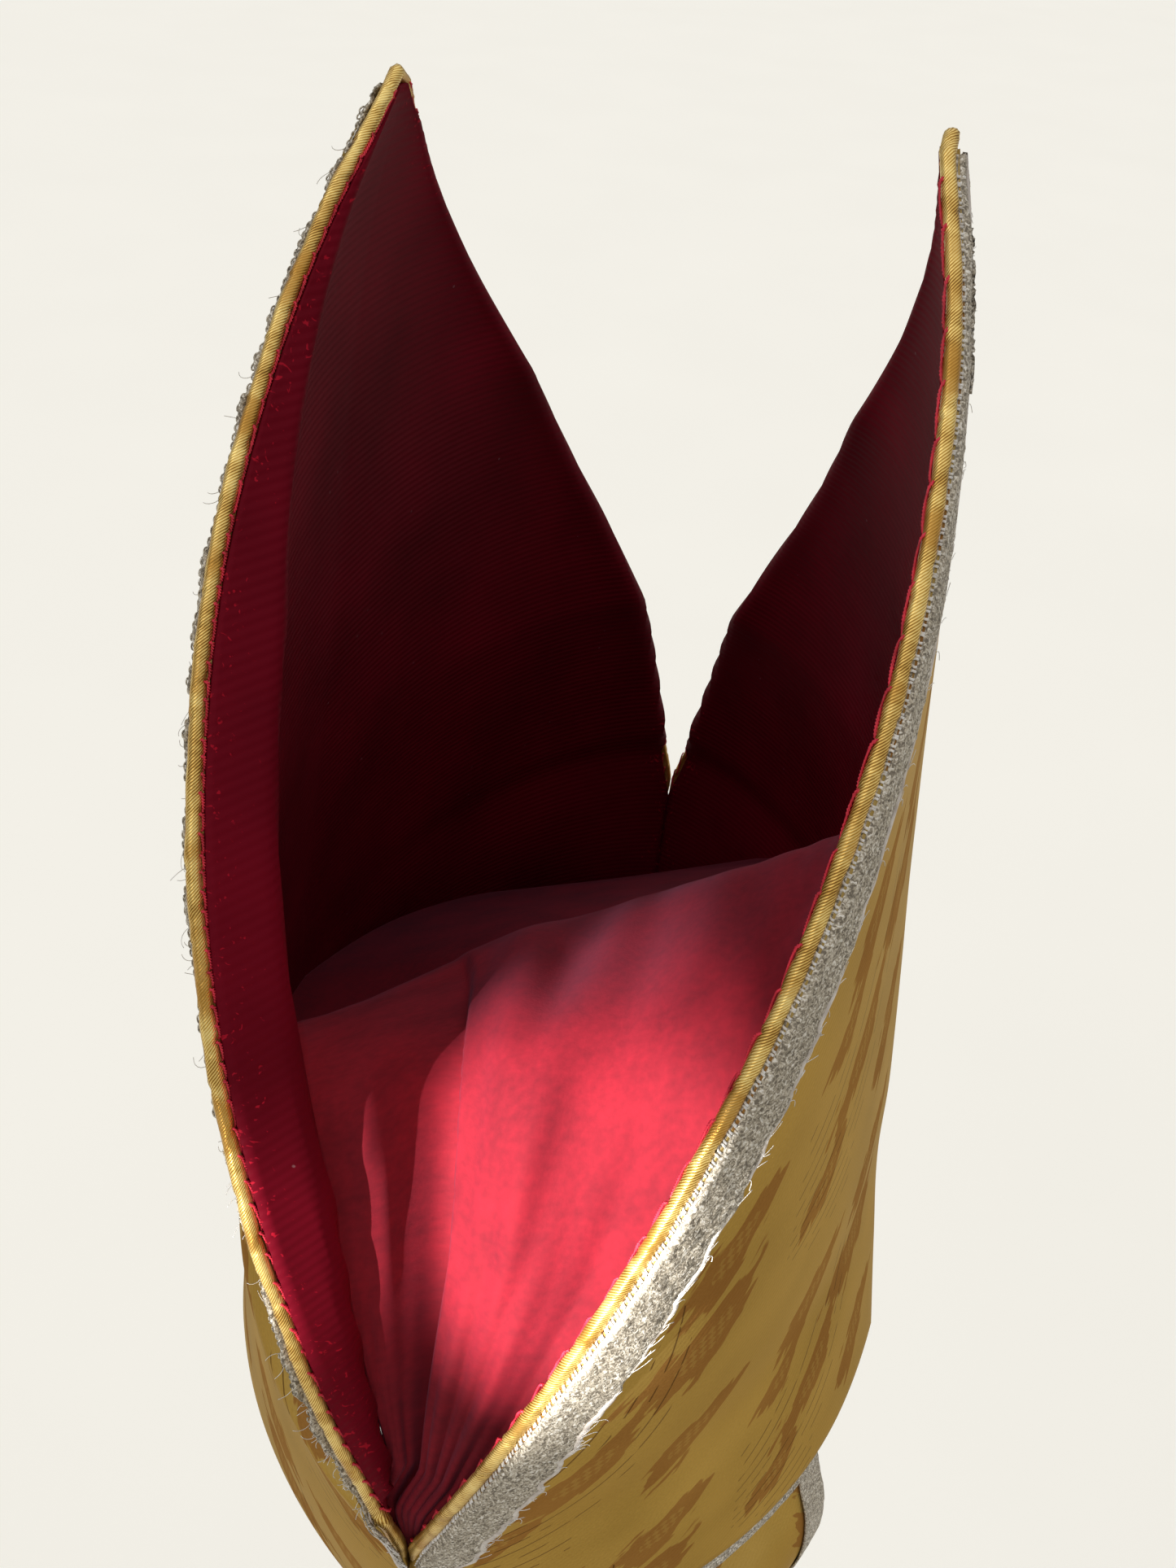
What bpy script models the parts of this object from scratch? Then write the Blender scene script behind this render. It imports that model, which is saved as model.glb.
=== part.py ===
"""Bishop mitre: two stiffened cusps joined by a soft gusset, with piping, silver braid and lappets.

The origin is the middle of the head opening at the rim. +X is one side seam, +Y the back, +Z up.
Every cloth wall is laid out on one surface: horizontal sections of a cusp, stacked up its height.
"""

import functools
import math

import bmesh
import bpy
import numpy as np

MM = 0.001

# Heights above the rim
SEAM_TOP = 71 * MM
TIP_HEIGHT = 295.5 * MM

# Cloth walls
PANEL_THICK = 1.8 * MM
LINING_THICK = 1.0 * MM
GUSSET_THICK = 1.0 * MM
BRAID_THICK = 0.7 * MM
LAPPET_THICK = 1.6 * MM
GAP = 0.32 * MM
SEAM_HALF_GAP = 0.2 * MM

# Trims
PIPING_RADIUS = 1.25 * MM
PIPING_CLEAR = 0.7 * MM
PIPING_ENTERS = 8 * MM
BRAID_WIDTH = 9.0 * MM
BRAID_CLEAR = 0.36 * MM

# The lips, which are folded out along the gusset's seams. For a cusp (1 the back, -1 the front)
# and its +X or -X side: width in millimetres, the shares of it that lead to the side and back out
# in depth, how late it widens, and how many millimetres the whole edge stands further to the side
# and nearer to the other cusp than in SECTIONS. A lip without a width stands straight on
LIPS = {
    (1, 1): (0.0, 0.0, 1.0, 1.0, 0.0, 0.0),
    (-1, 1): (14.5, 0.84, 0.54, 0.8, 0.0, 0.0),
    (1, -1): (14.5, 0.78, 0.63, 1.3, 5.0, 5.0),
    (-1, -1): (14.5, 0.78, 0.63, 1.3, 5.0, 5.0),
}
LIP_WIDENS = 75 * MM
LIP_NARROWS = 70 * MM
LIP_LEAST_DEPTH = 4 * MM
SEAM_IN = 15 * MM

# How full a section is between its ends: 0.5 is an ellipse, 1 a parabola
SECTION_FULLNESS = 0.70

# Sections of one cusp, from the rim to the tip, in millimetres:
# height, depth of the middle, depth of the free edge, half width at the edge
SECTIONS = (
    (0.0, 86.0, 0.2, 106.0),
    (36.0, 80.0, 0.2, 114.0),
    (71.0, 74.6, 0.2, 120.0),
    (92.0, 73.0, 6.4, 121.9),
    (112.0, 70.7, 13.7, 121.3),
    (133.0, 68.1, 21.6, 118.1),
    (153.0, 65.5, 29.6, 112.1),
    (174.0, 63.1, 37.3, 103.3),
    (194.0, 60.9, 44.0, 91.9),
    (215.0, 58.8, 49.1, 77.7),
    (236.0, 56.5, 52.2, 61.2),
    (256.0, 53.7, 52.6, 42.5),
    (277.0, 49.8, 50.0, 21.9),
    (295.5, 44.6, 44.4, 3.4),
)

# Where the gusset is sewn to a cusp, from the +X side seam over to the other: place across the cusp
# (1 and -1 are the seams along the two lips), then in millimetres the height on the front and on
# the back, and how far the cloth sags, is pushed in and is pleated between the cusps there
GUSSET_ROWS = (
    (1.00, 82.0, 82.0, 0.0, 0.0, 0.0),
    (1.00, 106.0, 107.0, 1.0, 2.0, 3.0),
    (1.00, 128.0, 136.0, 3.0, 6.0, 7.0),
    (1.00, 148.0, 164.0, 5.0, 11.0, 10.0),
    (1.00, 162.0, 192.0, 8.0, 16.0, 12.0),
    (0.98, 169.0, 215.0, 15.0, 20.0, 12.0),
    (0.90, 162.0, 215.0, 21.0, 20.0, 8.0),
    (0.74, 146.0, 204.0, 22.0, 12.0, 4.0),
    (0.52, 118.0, 184.0, 16.0, 6.0, 2.0),
    (0.25, 96.0, 166.0, 8.0, 2.0, 0.0),
    (-0.05, 78.0, 146.0, 0.0, 0.0, 0.0),
    (-0.40, 58.0, 112.0, 0.0, 0.0, 0.0),
    (-0.72, 42.0, 72.0, 0.0, 0.0, 0.0),
    (-0.95, 30.0, 38.0, 0.0, 0.0, 0.0),
)
GUSSET_COLUMNS = 11
GUSSET_END_DEPTH = 2.2 * MM
GUSSET_CLEAR = 0.52 * MM
PLEAT_PLACE = 0.22
PLEAT_SPREAD = 0.13

# Lappets: a row for each level below the rim, in millimetres: height, push outwards, half width
LAPPET_LEVELS = (
    (14.0, 0.0, 25.0),
    (2.0, 0.0, 25.0),
    (-12.0, 2.5, 25.2),
    (-28.0, 6.5, 25.6),
    (-46.0, 8.5, 26.0),
    (-70.0, 6.0, 26.6),
    (-110.0, 3.0, 27.4),
    (-180.0, 1.5, 28.6),
    (-260.0, 0.5, 30.0),
    (-330.0, 0.0, 31.0),
)
LAPPET_MIDDLE = 61 * MM
LAPPET_CLEAR = 0.5 * MM
LAPPET_BRAID_CLEAR = 0.5 * MM
LAPPET_COLUMNS = 6
LAPPET_FLAT_BELOW = 150 * MM
LAPPET_BORDER = 9 * MM
LAPPET_BORDER_TOP = -1 * MM

# Rows of every wall of a cusp, up the side seam and then along the free edge to the tip, and the
# rows of the free edge where its trims begin
SEAM_ROWS = 5
EDGE_ROWS = 19
BRAID_COLUMNS = 3
BRAID_FIRST_ROW = 1
BRAID_MEETS = 16 * MM
PIPING_FIRST_ROW = 3
# Columns of a wall: distances in from the braid's inner edge, with the most of the way that each
# may take up, and then shares of what is left
FOLD_COLUMNS = ((4.5, 0.15), (10.0, 0.33), (19.0, 0.55))
MIDDLE_COLUMNS = (0.82, 0.63, 0.42, 0.21, 0.0)
SECTION_SAMPLES = 81
# A step along a section, by length, over which its direction is taken
SECTION_STEP = 0.01


def smooth_table(table, heights):
    """Each column of a table of millimetres, in metres, smoothly between its rows."""
    rows = np.array(table) * MM
    known = rows[:, 0]
    slopes = np.gradient(rows[:, 1:], known, axis=0)
    at = np.clip(heights, known[0], known[-1])
    below = np.clip(np.searchsorted(known, at, side="right") - 1, 0, len(known) - 2)
    span = known[below + 1] - known[below]
    part = (at - known[below]) / span
    start, end = rows[below, 1:], rows[below + 1, 1:]
    part, span = part[..., None], span[..., None]
    return (
        (1 + 2 * part) * (1 - part) ** 2 * start
        + part * (1 - part) ** 2 * span * slopes[below]
        + part**2 * (3 - 2 * part) * end
        + part**2 * (part - 1) * span * slopes[below + 1]
    )


def spline_weights(count, at, degree=3):
    """Weights of the control points of a clamped B-spline, a row for each place from 0 to 1."""
    inner = np.linspace(0, 1, count - degree + 1)
    knots = np.concatenate([[0] * degree, inner, [1] * degree])
    at = np.clip(at, 0, 1 - 1e-9)[:, None]
    weights = ((knots[:-1] <= at) & (at < knots[1:])).astype(float)
    for order in range(1, degree + 1):
        left = knots[order:-1] - knots[: -order - 1]
        right = knots[order + 1 :] - knots[1:-order]
        rising = np.divide(at - knots[: -order - 1], left, out=np.zeros_like(weights[:, :-1]), where=left > 0)
        falling = np.divide(knots[order + 1 :] - at, right, out=np.zeros_like(rising), where=right > 0)
        weights = rising * weights[:, :-1] + falling * weights[:, 1:]
    return weights


def lip_growth(height, lateness):
    """How much of its full width a lip has at this height."""
    growing = np.clip((height - SEAM_TOP) / LIP_WIDENS, 0, 1) ** lateness
    return growing * np.clip((TIP_HEIGHT - height) / LIP_NARROWS, 0, 1)


@functools.lru_cache(None)
def whole_section(height, cusp, hand):
    """Points from the middle of a cusp to the piping at one height, as (width, depth), and lengths."""
    middle, edge_depth, edge_width = smooth_table(SECTIONS, np.array([height]))[0]
    width, sideways, backwards, lateness, aside, nearer = LIPS[cusp, hand]
    growth = lip_growth(height, lateness)
    edge_width += aside * MM * growth
    edge_depth -= min(nearer * MM * growth, 0.3 * edge_depth)
    lip = min(width * MM * growth, max(edge_depth - LIP_LEAST_DEPTH, 0) / backwards)
    edge = np.array([edge_width, edge_depth])
    fold = edge - lip * np.array([sideways, backwards])
    across = np.array([0.0, 0.25, 0.5, 0.72, 0.88, 0.97])
    arch = fold[1] + (middle - fold[1]) * (1 - across**2) ** SECTION_FULLNESS
    shares = (0.0, 0.25, 0.6, 1.0) if width else (1.0,)
    control = np.column_stack([fold[0] * across, arch])
    control = np.concatenate([control, [fold + share * (edge - fold) for share in shares]])
    points = spline_weights(len(control), np.linspace(0, 1, SECTION_SAMPLES)) @ control
    length = np.concatenate([[0], np.cumsum(np.hypot(*np.diff(points, axis=0).T))])
    return points, length


@functools.lru_cache(None)
def edge_slant(height, cusp, hand):
    """How much longer a level line across the braid is than the braid's width."""
    nearby = np.clip([height - 4 * MM, height + 4 * MM], SEAM_TOP, TIP_HEIGHT - MM)
    if nearby[1] <= nearby[0]:
        return 1.0
    lengths = [whole_section(level, cusp, hand)[1][-1] for level in nearby]
    return math.hypot(1, (lengths[1] - lengths[0]) / np.ptp(nearby))


@functools.lru_cache(None)
def half_section(height, cusp, hand):
    """The same points and lengths as far as the cloth's own edge, just inside the piping."""
    points, length = whole_section(height, cusp, hand)
    inset = PIPING_RADIUS + PIPING_CLEAR
    inset *= edge_slant(height, cusp, hand) * np.clip((height - SEAM_TOP) / PIPING_ENTERS, 0, 1)
    kept = np.linspace(0, length[-1] - min(inset, 0.5 * length[-1]), SECTION_SAMPLES)
    return np.column_stack([np.interp(kept, length, points[:, k]) for k in (0, 1)]), kept


def cusp_half(height, across, side):
    """The half section on which this place lies, on the back cusp (side 1) or the front one."""
    hand = 1 if across >= 0 else -1
    return half_section(float(height), side, hand * side)


def cusp_point(height, across, offset, side):
    """A point of a cusp laid on the +Y side. across runs from -1 to 1 by length, offset is outwards."""
    points, length = cusp_half(height, across, side)
    length = length / length[-1]
    place = np.array([np.interp(abs(across), length, points[:, k]) for k in (0, 1)])
    ends = np.clip([abs(across) - SECTION_STEP, abs(across) + SECTION_STEP], 0, 1)
    tangent = np.array([np.diff(np.interp(ends, length, points[:, k]))[0] for k in (0, 1)])
    tangent /= np.hypot(*tangent)
    place += offset * np.array([-tangent[1], tangent[0]])
    place[1] = max(place[1], SEAM_HALF_GAP)
    return np.array([math.copysign(place[0], across), place[1], height])


def cusp_length(height, hand, side):
    """Length of half a section."""
    return cusp_half(height, hand, side)[1][-1]


def material(name, color, roughness, metallic=0.0):
    """A plain cloth or thread material."""
    made = bpy.data.materials.new(name)
    made.use_nodes = True
    shader = made.node_tree.nodes["Principled BSDF"]
    shader.inputs["Base Color"].default_value = (*color, 1)
    shader.inputs["Roughness"].default_value = roughness
    shader.inputs["Metallic"].default_value = metallic
    return made


def finish(name, mesh, surface, collection):
    """An object of this mesh, shaded smooth, with one material."""
    piece = bpy.data.objects.new(name, mesh)
    mesh.materials.append(surface)
    mesh.shade_smooth()
    collection.objects.link(piece)
    return piece


def sheet_mesh(name, inner, outer, holes=()):
    """A closed wall between two grids of points, a row of each at a time, without the cells in holes."""
    rows, columns = inner.shape[:2]
    mesh = bpy.data.meshes.new(name)
    wall = bmesh.new()
    number_of = wall.verts.layers.int.new("number")
    bmesh.ops.create_grid(wall, x_segments=columns - 1, y_segments=rows - 1, size=1)
    ordered = sorted(wall.verts, key=lambda vert: (round(vert.co.y, 6), round(vert.co.x, 6)))
    for number, vert in enumerate(ordered):
        vert[number_of] = number
    cut = [face for face in wall.faces if min(vert[number_of] for vert in face.verts) in holes]
    bmesh.ops.delete(wall, geom=cut, context="FACES")
    bmesh.ops.triangulate(wall, faces=wall.faces[:], quad_method="FIXED")
    made = bmesh.ops.extrude_face_region(wall, geom=wall.faces[:], use_keep_orig=True)
    lifted = {item for item in made["geom"] if isinstance(item, bmesh.types.BMVert)}
    for vert in wall.verts:
        grid = outer if vert in lifted else inner
        vert.co = grid.reshape(-1, 3)[vert[number_of]]
    bmesh.ops.recalc_face_normals(wall, faces=wall.faces)
    wall.to_mesh(mesh)
    wall.free()
    return mesh


def turned(points, side):
    """The points on the back cusp, or turned half round onto the front one."""
    return points * np.array([side, side, 1])


def edge_heights():
    """The levels of the rows along the free edge, closer together near its two ends."""
    steps = np.linspace(0, 1, EDGE_ROWS)
    eased = 0.4 * steps + 0.3 * (1 - np.cos(math.pi * steps))
    return SEAM_TOP + (TIP_HEIGHT - SEAM_TOP) * eased


def wall_heights():
    """The levels of all the rows of a wall."""
    return np.concatenate([np.linspace(0, SEAM_TOP, SEAM_ROWS)[:-1], edge_heights()])


@functools.lru_cache(None)
def column_places(height, hand, side):
    """Where the columns stand at this level, from the middle of the cusp to its edge, by length."""
    length, slant = cusp_length(height, hand, side), edge_slant(height, side, hand * side)
    braid = min(BRAID_WIDTH * slant, 0.6 * length)
    rest = length - braid
    places = [rest - min(inward * MM * slant, share * rest) for inward, share in FOLD_COLUMNS]
    middle = [share * places[-1] for share in MIDDLE_COLUMNS]
    inner_first = middle[::-1] + places[::-1]
    return np.array([*inner_first, rest, rest + braid / 2, length]) / length


@functools.lru_cache(None)
def wall_row(height, offset, side):
    """One row of a wall from edge to edge of a cusp: the places by length and the points."""
    places = [-column_places(height, -1, side)[:0:-1], column_places(height, 1, side)]
    places = np.concatenate(places)
    return places, np.array([cusp_point(height, place, offset, side) for place in places])


def cusp_grid(offset, side):
    """Points over a whole cusp at this distance from its inner face."""
    rows = [wall_row(float(height), offset, side)[1] for height in wall_heights()]
    return turned(np.array(rows), side)


def wall_point(height, across, offset, side):
    """A point on the flat facets of a wall, across by length from -1 to 1."""
    levels = wall_heights()
    below = int(np.clip(np.searchsorted(levels, height, side="right") - 1, 0, len(levels) - 2))
    share = (height - levels[below]) / (levels[below + 1] - levels[below])
    ends = []
    for level in levels[below : below + 2]:
        places, row = wall_row(float(level), offset, side)
        ends.append(np.array([np.interp(across, places, row[:, axis]) for axis in range(3)]))
    return ends[0] + share * (ends[1] - ends[0])


def edge_path(first_row, hand, side):
    """Up the middle of one free edge's thickness, with the way out of the cloth at each point."""
    heights = edge_heights()[first_row:]
    outer = np.array([cusp_point(height, hand, PANEL_THICK, side) for height in heights])
    inner = np.array([cusp_point(height, hand, -GAP - LINING_THICK, side) for height in heights])
    inside = np.array([cusp_point(height, (1 - 2 * SECTION_STEP) * hand, 0, side) for height in heights])
    near = (outer + inner) / 2
    along = np.gradient(near, axis=0)
    out = np.cross(along, outer - inner)
    out *= np.sign((out * (near - inside)).sum(axis=1))[:, None]
    return near, out / np.linalg.norm(out, axis=1)[:, None]


def make_piping(name, side, surface, collection):
    """The covered cord round the free edge of a cusp."""
    clear = PIPING_RADIUS + PIPING_CLEAR
    runs = []
    for hand in (1, -1):
        near, out = edge_path(PIPING_FIRST_ROW, hand, side)
        run = near + clear * out
        run[:, 1] = np.maximum(run[:, 1], PIPING_RADIUS + SEAM_HALF_GAP)
        runs.append(run)
    top = np.array([[0, runs[0][-1, 1], TIP_HEIGHT + clear + 0.6 * MM]])
    path = turned(np.concatenate([runs[0], top, runs[1][::-1]]), side)
    curve = bpy.data.curves.new(name, "CURVE")
    curve.dimensions = "3D"
    curve.bevel_depth = PIPING_RADIUS
    curve.bevel_resolution = 1
    curve.use_fill_caps = True
    spline = curve.splines.new("POLY")
    spline.points.add(len(path) - 1)
    for point, place in zip(spline.points, path):
        point.co = (*place, 1)
    curve.materials.append(surface)
    cord = bpy.data.objects.new(name, curve)
    collection.objects.link(cord)
    return cord


def make_panel(name, side, surface, collection):
    """The stiffened, damask-covered wall of a cusp."""
    mesh = sheet_mesh(name, cusp_grid(0, side), cusp_grid(PANEL_THICK, side))
    return finish(name, mesh, surface, collection)


def make_lining(name, side, surface, collection):
    """The lining inside a cusp."""
    mesh = sheet_mesh(name, cusp_grid(-GAP - LINING_THICK, side), cusp_grid(-GAP, side))
    return finish(name, mesh, surface, collection)


def braid_grid(offset, side):
    """The edge columns of a wall, over the rows that carry the braid."""
    grid = cusp_grid(offset, side)[SEAM_ROWS - 1 + BRAID_FIRST_ROW :]
    return np.concatenate([grid[:, :BRAID_COLUMNS], grid[:, -BRAID_COLUMNS:]], axis=1)


def make_braid(name, side, surface, collection):
    """The silver braid outside a cusp, along its piping; its two runs meet only under the tip."""
    inner = braid_grid(PANEL_THICK + BRAID_CLEAR, side)
    outer = braid_grid(PANEL_THICK + BRAID_CLEAR + BRAID_THICK, side)
    closed = edge_heights()[BRAID_FIRST_ROW:] > TIP_HEIGHT - BRAID_MEETS
    rows = [row for row in range(len(closed) - 1) if not closed[row]]
    holes = [row * inner.shape[1] + BRAID_COLUMNS - 1 for row in rows]
    return finish(name, sheet_mesh(name, inner, outer, holes=holes), surface, collection)


def fold_place(height, hand, side):
    """Where, by length, the gusset is sewn along a lip."""
    return 1 - SEAM_IN * lip_growth(height, 1) / cusp_length(height, hand, side)


def gusset_edge(side, height, across):
    """A point of the gusset's sewn edge, just inside a lining. across is 1 at the near lips."""
    place = across * side * fold_place(height, across * side, side)
    inside = GAP + LINING_THICK + GUSSET_CLEAR + GUSSET_THICK / 2
    point = wall_point(height, place, -inside, side)
    point[1] = max(point[1], GUSSET_END_DEPTH)
    return turned(point, side)


def make_gusset(name, surface, collection):
    """The soft roof between the cusps: sewn along both, sagging between them, with a deep pleat."""
    rows = np.array(GUSSET_ROWS)
    known = np.linspace(0, 1, len(rows))
    steps = np.linspace(0, 1, 2 * len(rows) - 1)
    table = np.array([np.interp(steps, known, column) for column in rows.T]).T
    columns = np.linspace(0, 1, GUSSET_COLUMNS)
    belly = np.sin(math.pi * columns) ** 0.8
    pleat = np.exp(-(((columns - PLEAT_PLACE) / PLEAT_SPREAD) ** 2)) * np.sin(math.pi * columns) ** 0.5
    grid = []
    for across, front, back, sag, push, fold in table:
        start, end = gusset_edge(-1, front * MM, across), gusset_edge(1, back * MM, across)
        line = start + columns[:, None] * (end - start)
        line[:, 2] -= (sag * belly + 0.5 * fold * pleat) * MM
        line[:, 0] -= math.copysign(1, across) * (push * belly + fold * pleat) * MM
        grid.append(line)
    grid = np.array(grid)
    mesh = bpy.data.meshes.new(name)
    cloth = bmesh.new()
    bmesh.ops.create_grid(cloth, x_segments=grid.shape[1] - 1, y_segments=grid.shape[0] - 1, size=1)
    ordered = sorted(cloth.verts, key=lambda vert: (round(vert.co.y, 6), round(vert.co.x, 6)))
    for vert, place in zip(ordered, grid.reshape(-1, 3)):
        vert.co = place
    bmesh.ops.recalc_face_normals(cloth, faces=cloth.faces)
    cloth.to_mesh(mesh)
    cloth.free()
    piece = finish(name, mesh, surface, collection)
    wall = piece.modifiers.new("wall", "SOLIDIFY")
    wall.thickness = GUSSET_THICK
    wall.offset = 0
    return piece


def lappet_point(side, across, level, offset):
    """A point of a lappet. side is 1 at the near seam, across runs from -1 to 1, offset is outwards."""
    push, half_width = smooth_table(LAPPET_LEVELS[::-1], np.array([level]))[0]
    height = max(level, 0)
    round_rim = cusp_length(height, -1, 1)
    place = LAPPET_MIDDLE / round_rim
    middle = wall_point(height, place, offset, -1)
    curved = wall_point(height, place + across * half_width / round_rim, offset, -1)
    beside = cusp_point(height, place + SECTION_STEP, offset, -1)
    beside = beside - cusp_point(height, place - SECTION_STEP, offset, -1)
    hanging = np.clip(-level / LAPPET_FLAT_BELOW, 0, 1)
    beside = (1 - hanging) * beside / np.linalg.norm(beside) + [hanging, 0, 0]
    flat = middle + across * half_width * beside / np.linalg.norm(beside)
    point = curved + hanging * (flat - curved) + [0, push, 0]
    point[2] = level
    return point * [side, 1, 1]


def make_lappet(name, side, surface, collection):
    """One of the two bands that hang from inside the back rim."""
    levels = [row[0] * MM for row in LAPPET_LEVELS]
    columns = np.linspace(-1, 1, LAPPET_COLUMNS)
    face = -(GAP + LINING_THICK + LAPPET_CLEAR)
    grids = [
        np.array([[lappet_point(side, across, level, offset) for across in columns] for level in levels])
        for offset in (face - LAPPET_THICK, face)
    ]
    return finish(name, sheet_mesh(name, *grids), surface, collection)


def make_lappet_braid(name, side, surface, collection):
    """The silver border on the outer face of a lappet, as a frame."""
    bottom = LAPPET_LEVELS[-1][0] * MM
    inside = [LAPPET_BORDER_TOP - LAPPET_BORDER, bottom + LAPPET_BORDER]
    between = [row[0] * MM for row in LAPPET_LEVELS if inside[1] < row[0] * MM < inside[0]]
    levels = sorted([LAPPET_BORDER_TOP, *inside, *between, bottom], reverse=True)
    bar = 1 - LAPPET_BORDER / (LAPPET_LEVELS[0][2] * MM)
    columns = [-1, -bar, 0, bar, 1]
    face = -(GAP + LINING_THICK + LAPPET_CLEAR) + LAPPET_BRAID_CLEAR
    grids = [
        np.array([[lappet_point(side, across, level, offset) for across in columns] for level in levels])
        for offset in (face, face + BRAID_THICK)
    ]
    holes = [row * len(columns) + column for row in range(1, len(levels) - 2) for column in (1, 2)]
    return finish(name, sheet_mesh(name, *grids, holes=holes), surface, collection)


def main():
    for thing in list(bpy.data.objects):
        bpy.data.objects.remove(thing)
    mitre = bpy.data.collections.new("bishop_mitre")
    bpy.context.scene.collection.children.link(mitre)
    damask = material("gold_damask", (0.42, 0.27, 0.09), 0.42, 0.1)
    lining = material("burgundy_twill", (0.08, 0.006, 0.012), 0.55)
    red = material("red_cotton", (0.62, 0.02, 0.04), 0.7)
    gold = material("gold_satin_cord", (0.62, 0.40, 0.12), 0.35, 0.2)
    silver = material("silver_braid", (0.42, 0.38, 0.33), 0.45, 0.4)
    for name, side in (("front", -1), ("back", 1)):
        make_panel(name + "_panel", side, damask, mitre)
        make_lining(name + "_lining", side, lining, mitre)
        make_piping(name + "_piping", side, gold, mitre)
        make_braid(name + "_braid", side, silver, mitre)
    make_gusset("gusset", red, mitre)
    for name, side in (("near", 1), ("far", -1)):
        make_lappet("lappet_" + name, side, damask, mitre)
        make_lappet_braid("lappet_" + name + "_braid", side, silver, mitre)


main()
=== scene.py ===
"""Bishop mitre: gold damask cusps with piping, overcast seams, silver braid, a red gusset and lappets.

Metres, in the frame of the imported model: the origin is the middle of the head opening at the rim,
+X the seam on the near side, +Y the back and +Z up.
"""

import dataclasses
import enum
import functools
import logging
import math
from collections.abc import Sequence

import bmesh
import bpy
import mathutils
import numpy as np
from bpy.types import Light, Material, Mesh, Node, NodeSocket, NodeTree, Object
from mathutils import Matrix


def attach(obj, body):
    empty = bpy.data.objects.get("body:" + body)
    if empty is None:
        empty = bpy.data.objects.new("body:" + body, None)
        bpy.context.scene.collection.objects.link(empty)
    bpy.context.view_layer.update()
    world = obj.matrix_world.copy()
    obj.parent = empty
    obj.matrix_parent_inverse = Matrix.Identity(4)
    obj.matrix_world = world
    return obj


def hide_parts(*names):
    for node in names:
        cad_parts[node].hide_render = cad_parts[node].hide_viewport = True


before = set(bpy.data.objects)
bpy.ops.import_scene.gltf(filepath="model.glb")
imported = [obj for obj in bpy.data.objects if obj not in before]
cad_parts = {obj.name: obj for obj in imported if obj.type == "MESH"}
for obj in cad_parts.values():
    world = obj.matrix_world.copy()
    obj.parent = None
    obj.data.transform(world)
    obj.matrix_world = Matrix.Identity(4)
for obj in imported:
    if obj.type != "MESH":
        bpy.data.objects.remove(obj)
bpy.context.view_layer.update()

MM = 0.001
# Corners of a unit tube that are closer than this are one
WELD = 1e-4
# A direction that no thread follows
ASKEW = (0.31, 0.17, 0.93)
# Shortest and longest of the waves that make ripples, as shares of their wavelength
WAVES = (0.65, 1.5)
LOG = logging.getLogger("mitre")


# --- The shape of the cusps -------------------------------------------------------------------


class Side(enum.IntEnum):
    """A side of the mitre; the value is the way to it along its axis."""

    @property
    def word(self) -> str:
        """The side's name as the model spells it."""
        return self.name.lower()


class Cusp(Side):
    """The two stiffened halves of the mitre; the value is the side of the head along Y."""

    FRONT = -1
    BACK = 1


class Hand(Side):
    """The two sides of a cusp; the value is the side along X."""

    FAR = -1
    NEAR = 1


@dataclasses.dataclass(frozen=True)
class Lip:
    """How the free edge of a cusp is folded out along the gusset's seam.

    Attributes:
        width: width of the folded strip, in millimetres.
        sideways: share of the width that leads to the side.
        backwards: share of the width that leads back out in depth.
        lateness: how late the strip widens on the way up.
        aside: how far the edge stands further to the side, in millimetres.
        nearer: how far the edge stands nearer to the other cusp, in millimetres.
    """

    width: float = 0.0
    sideways: float = 0.0
    backwards: float = 1.0
    lateness: float = 1.0
    aside: float = 0.0
    nearer: float = 0.0


FAR_LIP = Lip(14.5, 0.78, 0.63, 1.3, 5.0, 5.0)
LIPS = {
    (Cusp.BACK, Hand.NEAR): Lip(),
    (Cusp.FRONT, Hand.NEAR): Lip(14.5, 0.84, 0.54, 0.8),
    (Cusp.BACK, Hand.FAR): FAR_LIP,
    (Cusp.FRONT, Hand.FAR): FAR_LIP,
}

# Sections of a cusp in millimetres: height, depth of the middle, depth and half width of the edge
SECTIONS = (
    (0.0, 86.0, 0.2, 106.0),
    (36.0, 80.0, 0.2, 114.0),
    (71.0, 74.6, 0.2, 120.0),
    (92.0, 73.0, 6.4, 121.9),
    (112.0, 70.7, 13.7, 121.3),
    (133.0, 68.1, 21.6, 118.1),
    (153.0, 65.5, 29.6, 112.1),
    (174.0, 63.1, 37.3, 103.3),
    (194.0, 60.9, 44.0, 91.9),
    (215.0, 58.8, 49.1, 77.7),
    (236.0, 56.5, 52.2, 61.2),
    (256.0, 53.7, 52.6, 42.5),
    (277.0, 49.8, 50.0, 21.9),
    (295.5, 44.6, 44.4, 3.4),
)
SEAM_TOP = 71 * MM
TIP_HEIGHT = 295.5 * MM
LIP_WIDENS = 75 * MM
LIP_NARROWS = 70 * MM
LIP_LEAST_DEPTH = 4 * MM
SECTION_FULLNESS = 0.70
SECTION_SAMPLES = 201
LIP_SHARES = (0.0, 0.25, 0.6, 1.0)
# How far up and down an edge's slant is taken
SLANT_REACH = 4 * MM
# Shares: of an edge's depth that it may come nearer, and of a level line that shows its direction
NEARER_MOST = 0.3
DIRECTION_STEP = 0.01
END_REACH = 1.5 * MM
CONTROL_PLACES = np.array([0.0, 0.25, 0.5, 0.72, 0.88, 0.97])

PANEL_THICK = 1.8 * MM
LINING_THICK = 1.0 * MM
GAP = 0.32 * MM
PIPING_RADIUS = 1.25 * MM
# How far the cloth's own edge stays clear of the piping; below zero it reaches under it
PIPING_CLEAR = -0.25 * MM
PIPING_ENTERS = 8 * MM


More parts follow.
